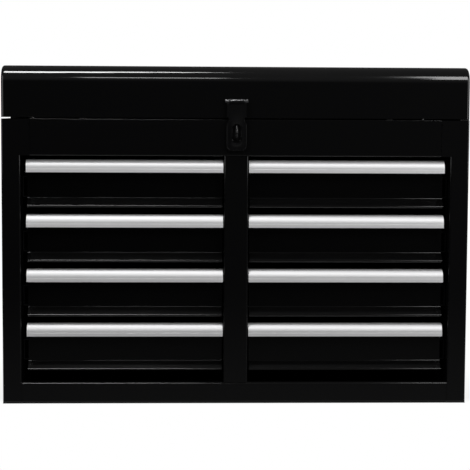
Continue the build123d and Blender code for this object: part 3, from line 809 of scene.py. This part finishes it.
@dataclass
class Lid:
    """The pressed lid, with its long hinge and its stays.

    The shell has a section end_guard before each rounded end, which keeps the lid flat in the shading, and its end
    walls begin end_margin inside the ends' outline.
    """

    crown: float = 21.0
    rear_crown: float = 6.0
    end_round: float = 4.0
    end_guard: float = 1.5
    end_margin: float = 1.0
    arc_step: float = 2.5
    arc_points: int = 13
    sheet: float = 1.0
    rim: float = 12.0
    side_rim: float = 6.0
    rim_gap: float = 0.3
    rim_lift: float = 0.02
    rim_bevel: float = 0.1
    hinge_z: float = 374.0
    hinge_y: float = 308.0
    knuckle: float = 3.0
    knuckle_sides: int = 24
    bore: float = 1.56
    pitch: float = 12.7
    play: float = 0.4
    leaf: float = 22.0
    leaf_bevel: float = 0.15
    tongue: float = 0.98
    rivets: int = 12
    rivet: Pair = (2.6, 1.0)
    rivet_inset: float = 24.0
    rivet_rise: float = 13.0

    def shell(self) -> Surface:
        """Works out the pressed shell.

        The section runs up the front, over the crown and down the rear. Towards each end, at an angle t of the end's
        round, it stands at the end's start plus the round's radius times the sine of t, and is moved inwards by that
        radius times one minus the cosine of t. The inner face is the same, a sheet's thickness further in.

        Returns:
            The closed shell with its folded rim.
        """
        (left, front, base), (right, rear, top) = node_box("lid_shell")
        corners = [(front, base), (front, top), (rear, top), (rear, base)]
        section = rounded(corners, [0.0, self.crown, self.rear_crown, 0.0], False, self.arc_step, 1.0)
        inward = -side_steps(section)
        turn = np.radians(np.linspace(0.0, 90.0, self.arc_points))
        start = right - self.end_round
        walls = []
        for wall in (0.0, self.sheet):
            radius = self.end_round - wall
            place = np.concatenate([[0.0, start - self.end_guard], start + radius * np.sin(turn), [start + radius]])
            deepest = self.end_round + self.end_margin
            inset = np.concatenate([[wall, wall], self.end_round - radius * np.cos(turn), [deepest]])
            places = np.concatenate([-place[::-1], place[1:]])
            insets = np.concatenate([inset[::-1], inset[1:]])
            flat = section + insets[:, None, None] * inward
            flat[:, [0, -1], 1] = base
            walls.append(carried(flat, places[:, None]))
        rows, columns = walls[0].shape[:2]
        inner = rows * columns
        skin = grid(rows, columns, rings=False)
        ends = np.stack([np.arange(columns)[::-1], np.arange(columns) + inner - columns])
        foot = np.arange(rows - 1) * columns
        heel = foot + columns - 1
        # The mouth's edge, from point to point: along the front, along the rear, and across both ends
        here = np.concatenate([foot, heel + columns, [columns - 1, inner - columns]])
        there = np.concatenate([foot + columns, heel, [0, inner - 1]])
        edge = np.stack([here, there, there + inner, here + inner], -1)
        faces = [skin, skin[:, ::-1] + inner, ends, ends[:, ::-1] + inner, edge]
        shell = Surface(np.concatenate(walls).reshape(-1, 3), faces).outward()
        return joined([shell, *self.rims(left, right, front, rear, base)])

    def rims(self, left: float, right: float, front: float, rear: float, base: float) -> list[Surface]:
        """Makes the four folded lips round the lid's mouth, cut square at its corners.

        Args:
            left: The lid's left face.
            right: Its right face.
            front: Its front face.
            rear: Its rear face.
            base: The height of its mouth.

        Returns:
            The lips along the front and the rear, and then those at the sides.
        """
        tuck, low, high = self.sheet / 2, base + self.rim_lift, base + self.sheet
        across = (left + self.end_round, right - self.end_round, Axis.X)
        along = (front + self.rim + self.rim_gap, rear - self.rim - self.rim_gap, Axis.Y)
        lips = [
            (front + tuck, front + self.rim, *across),
            (rear - self.rim, rear - tuck, *across),
            (left + tuck, left + self.side_rim, *along),
            (right - self.side_rim, right - tuck, *along),
        ]
        return [prism(rectangle(near, low, far, high), *run, self.rim_bevel) for near, far, *run in lips]

    def hinge(self, up: int) -> Surface:
        """Makes half of the long hinge: a leaf with every other knuckle, and a row of rivets.

        Args:
            up: 1 for the lid's leaf and -1 for the body's.

        Returns:
            The leaf's plate, the rolled knuckles as rings of an outer and an inner circle, and the rivet heads.
        """
        (_, plate_y, _), (half, _, _) = node_box("hinge_lid_leaf" if up > 0 else "hinge_body_leaf")
        near = self.hinge_z + up * (self.knuckle + self.play)
        far = self.hinge_z + up * self.leaf
        section = rectangle(plate_y, near, plate_y + self.sheet, far)
        plate = prism(section, -half, half, Axis.X, self.leaf_bevel)
        count = int(2 * half / self.pitch)
        step = 2 * half / count
        starts = spots(-half + step * np.arange(int(up > 0), count, 2) + self.play / 2, 0.0, 0.0)
        knuckle = sleeve(self.knuckle, self.bore, step - self.play, self.knuckle_sides)
        knuckle = knuckle.moved(0.0, self.hinge_y, self.hinge_z)
        root = rectangle(plate_y, self.hinge_z, plate_y + self.tongue, near)
        tongue = prism(root, 0.0, step - self.play, Axis.X)
        row = np.linspace(-half + self.rivet_inset, half - self.rivet_inset, self.rivets)
        heads = spots(row, plate_y + self.sheet, self.hinge_z + up * self.rivet_rise)
        head = rivet(*self.rivet, side=1)
        return joined([plate, knuckle.repeated(starts), tongue.repeated(starts), head.repeated(heads)])

    def build(self, shop: Workshop) -> None:
        """Makes the shell and the hinge, and dresses the pin and the stays.

        Args:
            shop: The workshop that makes and dresses the pieces.
        """
        shop.make("lid_pressing", self.shell(), "lid", Slot.LID, ["lid_shell"])
        shop.make("lid_hinge_leaf", self.hinge(1), "lid", Slot.HINGE, ["hinge_lid_leaf"])
        shop.make("case_hinge_leaf", self.hinge(-1), "cabinet", Slot.HINGE, ["hinge_body_leaf"])
        shop.dress(Slot.PIN, ["hinge_pin"])
        shop.dress(Slot.STAY, ["stay_guides", "stay_pivots", "lid_stay_left", "lid_stay_right"])


@dataclass
class Hasp:
    """The hasp on the lid and the staple on the top rail.

    Each row of bead and rim is a distance from the slot or from the outline, and a depth behind the front face.
    """

    wire: float = 1.6
    wire_sides: int = 20
    bend: float = 8.0
    bend_points: int = 25
    leg: float = 5.5
    sheet: float = 1.2
    plate: Pair = (19.4, 28.0)
    plate_corner: float = 1.5
    plate_bevel: float = 0.15
    rivet: Pair = (2.2, 0.9)
    rivet_place: Pair = (6.2, 10.8)
    knuckle: float = 2.6
    knuckle_sides: int = 28
    bore: float = 1.26
    gap: float = 0.3
    neck: float = 9.7
    neck_overlap: float = 1.0
    neck_bevel: float = 0.1
    waist_drop: float = 24.0
    waist_rise: float = 6.0
    corner: float = 4.2
    radii: Radii = (0.8, 2.4, 2.4, 2.4, 1.0, 1.0)
    arc_step: float = 12.0
    slot_drop: float = 30.0
    slot_length: float = 24.0
    slot_width: float = 11.4
    bead: tuple[Pair, ...] = (
        (0.0, 1.2), (0.0, 0.3), (0.3, 0.0), (1.2, 0.0), (1.8, -0.14), (2.4, -0.2), (3.0, -0.14), (3.6, 0.0)
    )
    rim: tuple[Pair, ...] = ((1.6, 0.0), (0.35, 0.0), (0.0, 0.35), (0.0, 1.2))

    def staple(self) -> Surface:
        """Makes the staple's plate, its bent wire and four rivet heads.

        Returns:
            The wire follows a straight leg, half a circle and the other leg.
        """
        (_, _, low), (_, _, high) = node_box("hasp_staple")
        middle = (low + high) / 2
        angles = np.radians(np.linspace(-90.0, 90.0, self.bend_points))
        arc = self.bend * rays(angles) * [-1.0, 1.0] + [-self.leg, middle]
        leg = np.array([[-self.sheet / 4, middle - self.bend], [-self.leg / 2, middle - self.bend]])
        path = np.concatenate([leg, arc, (leg * [1.0, -1.0] + [0.0, 2 * middle])[::-1]])
        half, rise = self.plate[0] / 2, self.plate[1] / 2
        outline = rounded(rectangle(-half, middle - rise, half, middle + rise), [self.plate_corner] * 4, True)
        plate = prism(outline, -self.sheet, 0.0, Axis.Y, self.plate_bevel)
        side, up = (np.array([-place, place]) for place in self.rivet_place)
        heads = spots(side[:, None], -self.sheet, middle + up)
        return joined([plate, wire(path, self.wire, self.wire_sides), rivet(*self.rivet).repeated(heads)])

    def roll(self) -> Surface:
        """Makes the swinging leaf's rolled knuckle.

        Returns:
            A tube round the pin, as long as the leaf's neck is wide.
        """
        pin_z = node_box("hasp_leaf")[1][2] - self.knuckle
        tube = sleeve(self.knuckle, self.bore, 2 * self.neck, self.knuckle_sides)
        return tube.moved(-self.neck, -self.knuckle, pin_z)

    def leaf(self) -> Surface:
        """Makes the swinging leaf below its knuckle: a slotted plate with a pressed bead round its slot, and a neck.

        Returns:
            The plate's rings follow the slot or the outline along equal rays from the slot's middle, each moved out
            or in by a distance and set at a depth. The first and the last ring lie on the back.
        """
        (_, _, bottom), (half, _, top) = node_box("hasp_leaf")
        pin_z = top - self.knuckle
        shoulder = pin_z - self.knuckle - self.gap
        waist_z = pin_z - self.waist_drop
        centre = pin_z - self.slot_drop - self.slot_length / 2
        right = [
            (half, shoulder),
            (half, waist_z + self.waist_rise),
            (self.neck, waist_z),
            (half, waist_z - self.waist_rise),
            (half, bottom + self.corner),
            (half - self.corner, bottom),
        ]
        corners = right + [(-x, z) for x, z in right[::-1]]
        outline = rounded(corners, self.radii + self.radii[::-1], True, self.arc_step, 0.3) - [0.0, centre]
        wide, tall = self.slot_width / 2, self.slot_length / 2
        slot = rounded(rectangle(wide, tall, -wide, -tall), [wide - 0.01] * 4, True, self.arc_step, 0.3)
        both = np.concatenate([outline, slot])
        angles = np.unique(np.round(np.arctan2(both[:, 1], both[:, 0]) % (2 * math.pi), 5))
        bead, rim = np.array(self.bead), np.array(self.rim)
        reach = np.concatenate([polar_reach(slot, angles) + bead[:, :1], polar_reach(outline, angles) - rim[:, :1]])
        front = -2 * self.knuckle
        depths = front + np.concatenate([bead, rim])[:, 1:]
        flat = reach[..., None] * rays(angles) + [0.0, centre]
        plate = looped(carried(flat, depths)[..., [1, 0, 2]])
        section = rectangle(front, shoulder - self.neck_overlap, front + self.sheet, pin_z)
        return joined([plate, prism(section, -self.neck, self.neck, Axis.X, self.neck_bevel)])

    def build(self, shop: Workshop) -> None:
        """Makes the staple, the swinging leaf and its bare knuckle, and dresses the fixed leaf and the pin.

        Args:
            shop: The workshop that makes and dresses the pieces.
        """
        shop.make("hasp_eye", self.staple(), "cabinet", Slot.HASP, ["hasp_staple"])
        shop.make("hasp_strap", self.leaf(), "hasp", Slot.HASP, ["hasp_leaf"])
        shop.make("hasp_rolled_knuckle", self.roll(), "hasp", Slot.PIN)
        shop.dress(Slot.PIN, ["hasp_mount", "hasp_pin"])


@dataclass
class Drawer:
    """One drawer: formed front, folded tray and full-width pull."""

    number: int
    pull_height: float = 16.5
    pull_wall: float = 1.5
    pull_front: float = 1.0
    pull_bevel: float = 0.2
    crown: float = 10.0
    rear_crown: float = 1.2
    step_drop: float = 11.6
    step: float = 0.2
    lip_depth: float = 4.5
    lip_rise: float = 3.0
    clip_depth: float = 7.0
    clearance: float = 0.1
    recess: float = 14.0
    sheet: float = 0.8
    height: float = 61.9975
    crease_rise: float = 12.1
    nose_rise: float = 1.7
    nose_reach: float = 11.4
    hem_back: float = 2.5
    front_radii: Radii = (0.0, 1.2, 1.3, 1.0, 0.0)
    cheek: float = 5.0
    cheek_gap: float = 0.05
    front_set_in: float = 1.0
    tray_set_in: float = 6.0
    wall_drop: float = 13.0
    rim: float = 5.0
    rim_fold: float = 1.0
    hem: float = 3.0
    floor_fold: float = 2.2
    back_fold: float = 1.8
    back_gap: float = 0.02
    arc_step: float = 15.0
    left: float = field(init=False)
    right: float = field(init=False)
    top: float = field(init=False)

    def __post_init__(self) -> None:
        """Reads the pull's place from the frame."""
        (self.left, _, _), (self.right, _, self.top) = node_box(f"drawer_{self.number}_pull")

    def pull(self) -> Surface:
        """Makes the extruded pull.

        Returns:
            A crowned front with a step, a lip below, and a clip over the front's edge, as one section carried along
            x. Each row of the section is y, z and the corner's radius.
        """
        front, top, wall = self.pull_front, self.top, self.pull_wall
        bottom, step = top - self.pull_height, top - self.step_drop
        near = self.recess - self.clearance
        far = self.recess + self.sheet + self.clearance
        rear, under, inner, lip = far + wall, top - wall, front + wall, front + self.lip_depth
        rise, clip = bottom + self.lip_rise, top - self.clip_depth
        corners = np.array([
            (rear, clip - wall, 0.3),
            (rear, top, self.rear_crown),
            (front + self.step, top, self.crown),
            (front + self.step, step, 0.0),
            (front, step - self.step, 0.25),
            (front, bottom, 0.5),
            (lip, bottom, 0.3),
            (lip, rise, 0.3),
            (lip - wall, rise, 0.3),
            (lip - wall, bottom + wall, 0.0),
            (inner, bottom + wall, 0.0),
            (inner, under, self.crown - wall),
            (near - wall, under, 0.0),
            (near - wall, clip, 0.2),
            (near, clip, 0.2),
            (near, under, 0.0),
            (far, under, 0.0),
            (far, clip - wall, 0.3),
        ])
        outline = rounded(corners[:, :2], corners[:, 2], True, 5.0, 0.3)
        return prism(outline, self.left, self.right, Axis.X, self.pull_bevel)

    def front_path(self) -> np.ndarray:
        """Works out the front's outer face.

        Returns:
            Its path of y and z: flat, crease, flared skirt, nose, hem and floor.
        """
        base = self.top - self.height
        nose = self.recess - self.nose_reach
        corners = [
            (self.recess, self.top - 2 * self.pull_wall),
            (self.recess, base + self.crease_rise),
            (nose, base + self.nose_rise),
            (nose + self.hem_back, base),
            (self.recess + self.cheek, base),
        ]
        return rounded(corners, self.front_radii, False, 7.0, 0.3)

    def front(self) -> list[Surface]:
        """Makes the folded front.

        Returns:
            Its sheet, and the two cheeks that close its skirt at the ends.
        """
        left, right, sheet = self.left + self.front_set_in, self.right - self.front_set_in, self.sheet
        path = self.front_path()
        behind = path + 0.5 * sheet * side_steps(path)
        deep, high = self.recess + self.cheek, self.top - self.pull_height
        start = int(np.searchsorted(-behind[:, 1], -high))
        outline = np.concatenate([behind[start:-1], [(deep, behind[-1, 1]), (deep, high)]])
        ends = [(left + self.cheek_gap, left + sheet), (right - sheet, right - self.cheek_gap)]
        return [folded(path, sheet, left, right, Axis.X), *(prism(outline, *end, Axis.X) for end in ends)]

    def tray(self) -> Surface:
        """Makes the whole tray.

        Returns:
            The front, the channel of floor and sides, the back, and the hem on top of it.
        """
        set_in, sheet, fold = self.front_set_in + self.tray_set_in, self.sheet, self.rim_fold
        left, right = self.left + set_in, self.right - set_in
        base, rim = self.top - self.height, self.top - self.wall_drop
        start, end = self.recess + sheet / 2, node_box(f"drawer_{self.number}_tray")[1][1]
        walls = [(left, rim), (left, base), (right, base), (right, rim)]
        corners = [(left + self.rim, rim), *walls, (right - self.rim, rim)]
        section = rounded(corners, [0.0, fold, self.floor_fold, self.floor_fold, fold, 0.0], False, self.arc_step)
        channel = folded(section, sheet, start, end, Axis.Y)
        wall = rounded(walls, [0.0, self.back_fold, self.back_fold, 0.0], False, self.arc_step)
        low = wall[wall[:, 1] < rim - sheet] + [0.0, sheet / 2]
        low[:, 0] = np.clip(low[:, 0], left + sheet / 2, right - sheet / 2)
        outline = np.concatenate([[(left + sheet / 2, rim - sheet)], low, [(right - sheet / 2, rim - sheet)]])
        back = prism(outline, end - sheet, end - self.back_gap, Axis.Y)
        edge = [(end - self.rim, rim), (end, rim), (end, rim - self.hem)]
        lip = rounded(edge, [0.0, fold, 0.0], False, self.arc_step)
        hem = folded(lip[::-1], sheet, left + 2 * sheet, right - 2 * sheet, Axis.X)
        return joined([*self.front(), channel, back, hem])

    def build(self, shop: Workshop) -> None:
        """Makes the pull and the tray.

        Args:
            shop: The workshop that makes and dresses the pieces.
        """
        name = f"drawer_{self.number}"
        shop.make(f"{name}_extruded_pull", self.pull(), name, Slot.PULL, [f"{name}_pull"])
        shop.make(f"{name}_folded_tray", self.tray(), name, Slot.DRAWER, [f"{name}_tray"])


@dataclass
class Slides:
    """The ball-bearing slides of all drawers."""

    sheet: float = 1.0
    height: float = 27.0
    fixed_flange: float = 10.2
    fixed_lip: float = 2.3
    moving_flange: float = 7.2
    thickness: float = 12.7
    ball_gap: float = 4.0
    ball_run: float = 5.5
    web: float = 0.8
    web_sheet: float = 0.56
    spare: float = 0.3
    shelf_drop: float = 0.4
    ball: float = 1.95
    ball_sides: int = 10
    ball_shift: float = 0.2
    ball_pitch: float = 11.5
    first_ball: float = 6.0
    last_ball: float = 2.0
    fixed_radii: Radii = (0.0, 1.3, 1.6, 1.6, 1.3, 0.0)
    moving_radii: Radii = (0.0, 1.4, 1.4, 0.0)
    cage_radii: Radii = (0.0, 1.2, 1.2, 0.0)
    arc_step: float = 18.0

    def section(self, moving: bool) -> np.ndarray:
        """Works out a member's section, from the mounting face towards the tray.

        Args:
            moving: Whether it is the member on the drawer.

        Returns:
            The section's path: a channel, which has lips on the fixed member.
        """
        if moving:
            top = self.height / 2 - self.sheet - self.ball_gap
            start = self.thickness - self.moving_flange
            corners = [(start, -top), (self.thickness, -top), (self.thickness, top), (start, top)]
            return rounded(corners, self.moving_radii, False, self.arc_step)
        top, reach, lip = self.height / 2, self.fixed_flange, self.fixed_lip
        corners = [(reach, top - lip), (reach, top), (0, top), (0, -top), (reach, -top), (reach, -top + lip)]
        return rounded(corners, self.fixed_radii, False, self.arc_step)

    def cage(self, start: float, end: float) -> Surface:
        """Makes one cage with its balls.

        Args:
            start: Where the cage starts, from the front.
            end: Where it ends.

        Returns:
            A web with a shelf at each run, and a row of balls in either run.
        """
        top = self.height / 2 - self.sheet - self.spare - self.shelf_drop
        far = self.fixed_flange - self.sheet - self.spare
        near = far - self.ball_run - self.web
        corners = [(far, top), (near, top), (near, -top), (far, -top)]
        path = rounded(corners, self.cage_radii, False, self.arc_step)
        strip = folded(path, self.web_sheet, start, end, Axis.Y)
        angles = np.radians([-60.0, -30.0, 0.0, 30.0, 60.0])
        radii, heights = self.ball * rays(angles).T
        sphere = lathe(radii, heights, self.ball_sides, self.ball, -self.ball)
        count = int((end - start - self.first_ball - self.last_ball) / self.ball_pitch)
        along = start + self.first_ball + self.ball_pitch * np.arange(count)
        run = self.height / 2 - self.sheet - self.ball_gap / 2
        middle = far - self.ball_run / 2 + self.ball_shift
        return joined([strip, sphere.repeated(spots(middle, along, np.array([[-run], [run]])))])

    def pair(self, part: Surface, width: float, middle: float, level: float) -> Surface:
        """Places a slide part on both sides of a drawer, its open side towards the tray.

        Args:
            part: The part, with its mounting face at nought.
            width: The tray's width.
            middle: The drawer's middle in x.
            level: The slide's height.

        Returns:
            The left part and its mirror image.
        """
        left = part.moved(-width / 2 - self.thickness, 0.0, 0.0)
        return joined(side.moved(middle, 0.0, level) for side in (left, left.mirrored()))

    def build(self, shop: Workshop) -> None:
        """Makes the fixed members as one piece, and each drawer's members and cages.

        Args:
            shop: The workshop that makes and dresses the pieces.
        """
        fixed = []
        for number in DRAWERS:
            name = f"drawer_{number}"
            (left, start, low), (right, end, high) = node_box(f"{name}_rails")
            spot = (right - left - 2 * self.moving_flange, (left + right) / 2, (low + high) / 2)
            still, moving = (
                self.pair(folded(self.section(moves), self.sheet, start, end, Axis.Y), *spot)
                for moves in (False, True)
            )
            fixed.append(still)
            shop.make(f"{name}_slide_members", moving, name, Slot.SLIDE, [f"{name}_rails"])
            (_, start, _), (_, end, _) = node_box(f"{name}_ball_cages")
            cage = self.pair(self.cage(start, end), *spot)
            shop.make(f"{name}_caged_balls", cage, f"ball_cages_{number}", Slot.CAGE, [f"{name}_ball_cages"])
        shop.make("fixed_slide_members", joined(fixed), "cabinet", Slot.SLIDE, ["cabinet_rails"])


# The studio, in metres

def from_posts(x: float, y: float, z: float) -> Vector:
    """Turns a place with y from the front of the posts into one of the frame."""
    return Vector((x, y + FRONT / MILLIMETRES, z))


@dataclass(frozen=True)
class Softbox:
    """A soft lamp. Without an aim it faces the lid squarely in x."""

    name: str
    middle: Triple
    size: Pair
    radiance: float
    aim: Triple | None = None

    def build(self) -> None:
        """Makes the lamp. Its power is its radiance times its area times pi."""
        data = bpy.data.lights.new(self.name, "AREA")
        data.shape = "RECTANGLE"
        data.size, data.size_y = self.size
        data.energy = self.radiance * self.size[0] * self.size[1] * math.pi
        lamp = bpy.data.objects.new(self.name, data)
        bpy.context.scene.collection.objects.link(lamp)
        place = from_posts(*self.middle)
        aim = from_posts(*(self.aim or (self.middle[0], 0.0, LID_HEIGHT))) - place
        lamp.matrix_world = Matrix.Translation(place) @ aim.to_track_quat("-Z", "Y").to_matrix().to_4x4()
        lamp.visible_camera = False
        LOG.info("lamp %s: %.2f W", self.name, data.energy)


@dataclass
class Studio:
    """Camera, lamps, pale floor and white surroundings.

    The floor turns from grey to white at the object's outline with a slope of contact, and its shadow sets in behind
    the front with a slope of shadow_front, both per metre. Shadow is the shadow's share of the white.
    """

    focal_pixels: float = 1500.0
    width_pixels: float = 470.0
    sensor: float = 36.0
    place: Triple = (-0.0723, -1.954, 0.384)
    yaw: float = 2.08
    pitch: float = 4.72
    roll: float = 0.29
    surround: float = 0.11
    sky_span: Pair = (0.06, 0.40)
    horizon: float = 0.004
    slant: float = 0.06
    slant_start: float = -0.12
    ground: float = 1.3
    ground_span: Pair = (0.12, 0.92)
    floor_tone: float = 0.3
    floor_level: float = -0.0001
    margin: float = 0.014
    rear_margin: float = 0.6
    shadow: float = 0.16
    shadow_reach: float = 0.05
    shadow_front: float = 30.0
    contact: float = 2000.0
    lamps: tuple[Softbox, ...] = (
        Softbox("overhead_1", (-0.41, -0.375, 1.558), (0.18, 0.22), 26.0),
        Softbox("overhead_2", (-0.27, -0.34, 1.558), (0.10, 0.18), 27.0),
        Softbox("overhead_3", (-0.18, -0.295, 1.558), (0.08, 0.14), 25.5),
        Softbox("overhead_4", (-0.10, -0.275, 1.558), (0.08, 0.10), 22.5),
        Softbox("overhead_5", (-0.04, -0.265, 1.558), (0.04, 0.07), 17.0),
        Softbox("overhead_6", (0.0, -0.265, 1.558), (0.04, 0.05), 8.0),
        Softbox("left_softbox", (-0.145, -1.54, 1.36), (0.356, 0.12), 9.4),
        Softbox("right_edge", (0.485, -1.24, 1.74), (0.05, 0.40), 1.0),
        Softbox("right_inner", (0.535, -1.24, 1.74), (0.05, 0.40), 5.5),
        Softbox("right_softbox", (0.86, -1.34, 1.62), (0.60, 0.70), 8.0),
        Softbox("right_fill", (1.45, -0.85, 0.75), (1.0, 1.1), 2.2, (0.1, 0.0, 0.25)),
        Softbox("left_fill", (-1.45, -0.85, 0.75), (1.0, 1.1), 1.8, (-0.1, 0.0, 0.25)),
    )

    def camera(self) -> None:
        """Places the camera at the photograph's viewing angle."""
        data = bpy.data.cameras.new("camera")
        data.sensor_width = self.sensor
        data.lens = self.sensor * self.focal_pixels / self.width_pixels
        yaw, pitch, roll = (math.radians(angle) for angle in (self.yaw, self.pitch, self.roll))
        ahead = Vector((math.sin(yaw) * math.cos(pitch), math.cos(yaw) * math.cos(pitch), -math.sin(pitch)))
        right = Vector((math.cos(yaw), -math.sin(yaw), 0.0))
        up = right.cross(ahead)
        across = math.cos(roll) * right + math.sin(roll) * up
        upright = -math.sin(roll) * right + math.cos(roll) * up
        turn = Matrix((across, upright, -ahead)).transposed().to_4x4()
        camera = bpy.data.objects.new("camera", data)
        camera.matrix_world = Matrix.Translation(from_posts(*self.place)) @ turn
        bpy.context.scene.collection.objects.link(camera)
        bpy.context.scene.camera = camera

    def world(self) -> None:
        """Shows white surroundings to the camera, and lights the object with dim greys.

        The grey goes by a direction's height. It is darkest at the horizon, a little paler to the right, and rises to
        the surround's level above and to the ground's below, which fades again straight down.
        """
        graph = Graph(bpy.data.worlds.new("surroundings"))
        height = graph.split(graph.place.other("Generated"), "Z")
        dip, nadir = self.ground_span
        level = graph.limited(height.other("X") - self.slant_start) * self.slant + self.horizon
        level = level + graph.limited(height * -1.0 - dip) * graph.limited(height + nadir) * self.ground
        first, last = self.sky_span
        span = {"Value": height, "From Min": first, "From Max": last, "To Min": level, "To Max": self.surround}
        level = graph.node("MapRange", 0, {"interpolation_type": "SMOOTHSTEP"}, span)
        grey = graph.node("Background", 0, None, {"Color": WHITE, "Strength": level})
        white = graph.node("Background", 0, None, {"Color": WHITE, "Strength": 1.0})
        path = graph.node("LightPath", "Is Camera Ray")
        graph.close(graph.node("MixShader", 0, None, {0: path, 1: grey, 2: white}), "OutputWorld")
        bpy.context.scene.world = graph.holder

    def floor(self) -> None:
        """Lays a pale floor: white to the camera, with the object's shadow, which fades away from it.

        The distance from the object is the larger of the distances beyond its sides and beyond its front or rear.
        """
        low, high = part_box("left_side_panel")
        half, middle, reach = -low.x, (low.y + high.y) / 2, (high.y - low.y) / 2
        graph = Graph(bpy.data.materials.new("floor"))
        tone = self.floor_tone
        diffuse = graph.node("BsdfDiffuse", 0, None, {"Color": (tone, tone, tone, 1.0)})
        glow = graph.node("Emission", 0, None, {"Color": WHITE, "Strength": 1.0})
        path = graph.node("LightPath", "Is Camera Ray")
        across = graph.split(graph.place, "X")
        along = across.other("Y")
        beside = graph.maths("ABSOLUTE", across) - half
        away = graph.maths("MAXIMUM", beside, graph.maths("ABSOLUTE", along - middle) - reach)
        # Near the object the floor turns from white towards the dim diffuse floor, for the camera and for glossy rays:
        # the diffuse part shows the real shadow, and the dimness of the blend itself is painted contact shade.
        outside = away * (1.0 / self.shadow_reach)
        near = graph.limited(1.0 - outside) * graph.limited((along - low.y) * self.shadow_front)
        mirrored = graph.limited(path.other("Is Glossy Ray") + path.other("Is Transmission Ray"))
        seen = path * graph.limited(away * self.contact) + mirrored * graph.limited(outside)
        white = seen * (1.0 - near * self.shadow)
        graph.close(graph.node("MixShader", 0, None, {0: white, 1: diffuse, 2: glow}))
        side = half + self.rear_margin
        corners = rectangle(-side, low.y - self.margin, side, high.y + self.rear_margin)
        mesh = bpy.data.meshes.new("floor")
        mesh.from_pydata([(x, y, self.floor_level) for x, y in corners.tolist()], [], [(0, 1, 2, 3)])
        mesh.materials.append(graph.holder)
        floor = bpy.data.objects.new("floor", mesh)
        bpy.context.scene.collection.objects.link(floor)

    def build(self) -> None:
        """Sets up the whole studio."""
        self.camera()
        self.world()
        self.floor()
        for lamp in self.lamps:
            lamp.build()
        bpy.context.scene.view_settings.view_transform = "Standard"
        LOG.info("studio ready")


def main() -> None:
    """Builds the chest and the studio."""
    logging.basicConfig(level=logging.INFO, format="%(message)s")
    Studio().build()
    shop = Workshop()
    Case().build(shop)
    Lid().build(shop)
    Hasp().build(shop)
    for number in DRAWERS:
        Drawer(number).build(shop)
    Slides().build(shop)


if __name__ == "__main__":
    main()
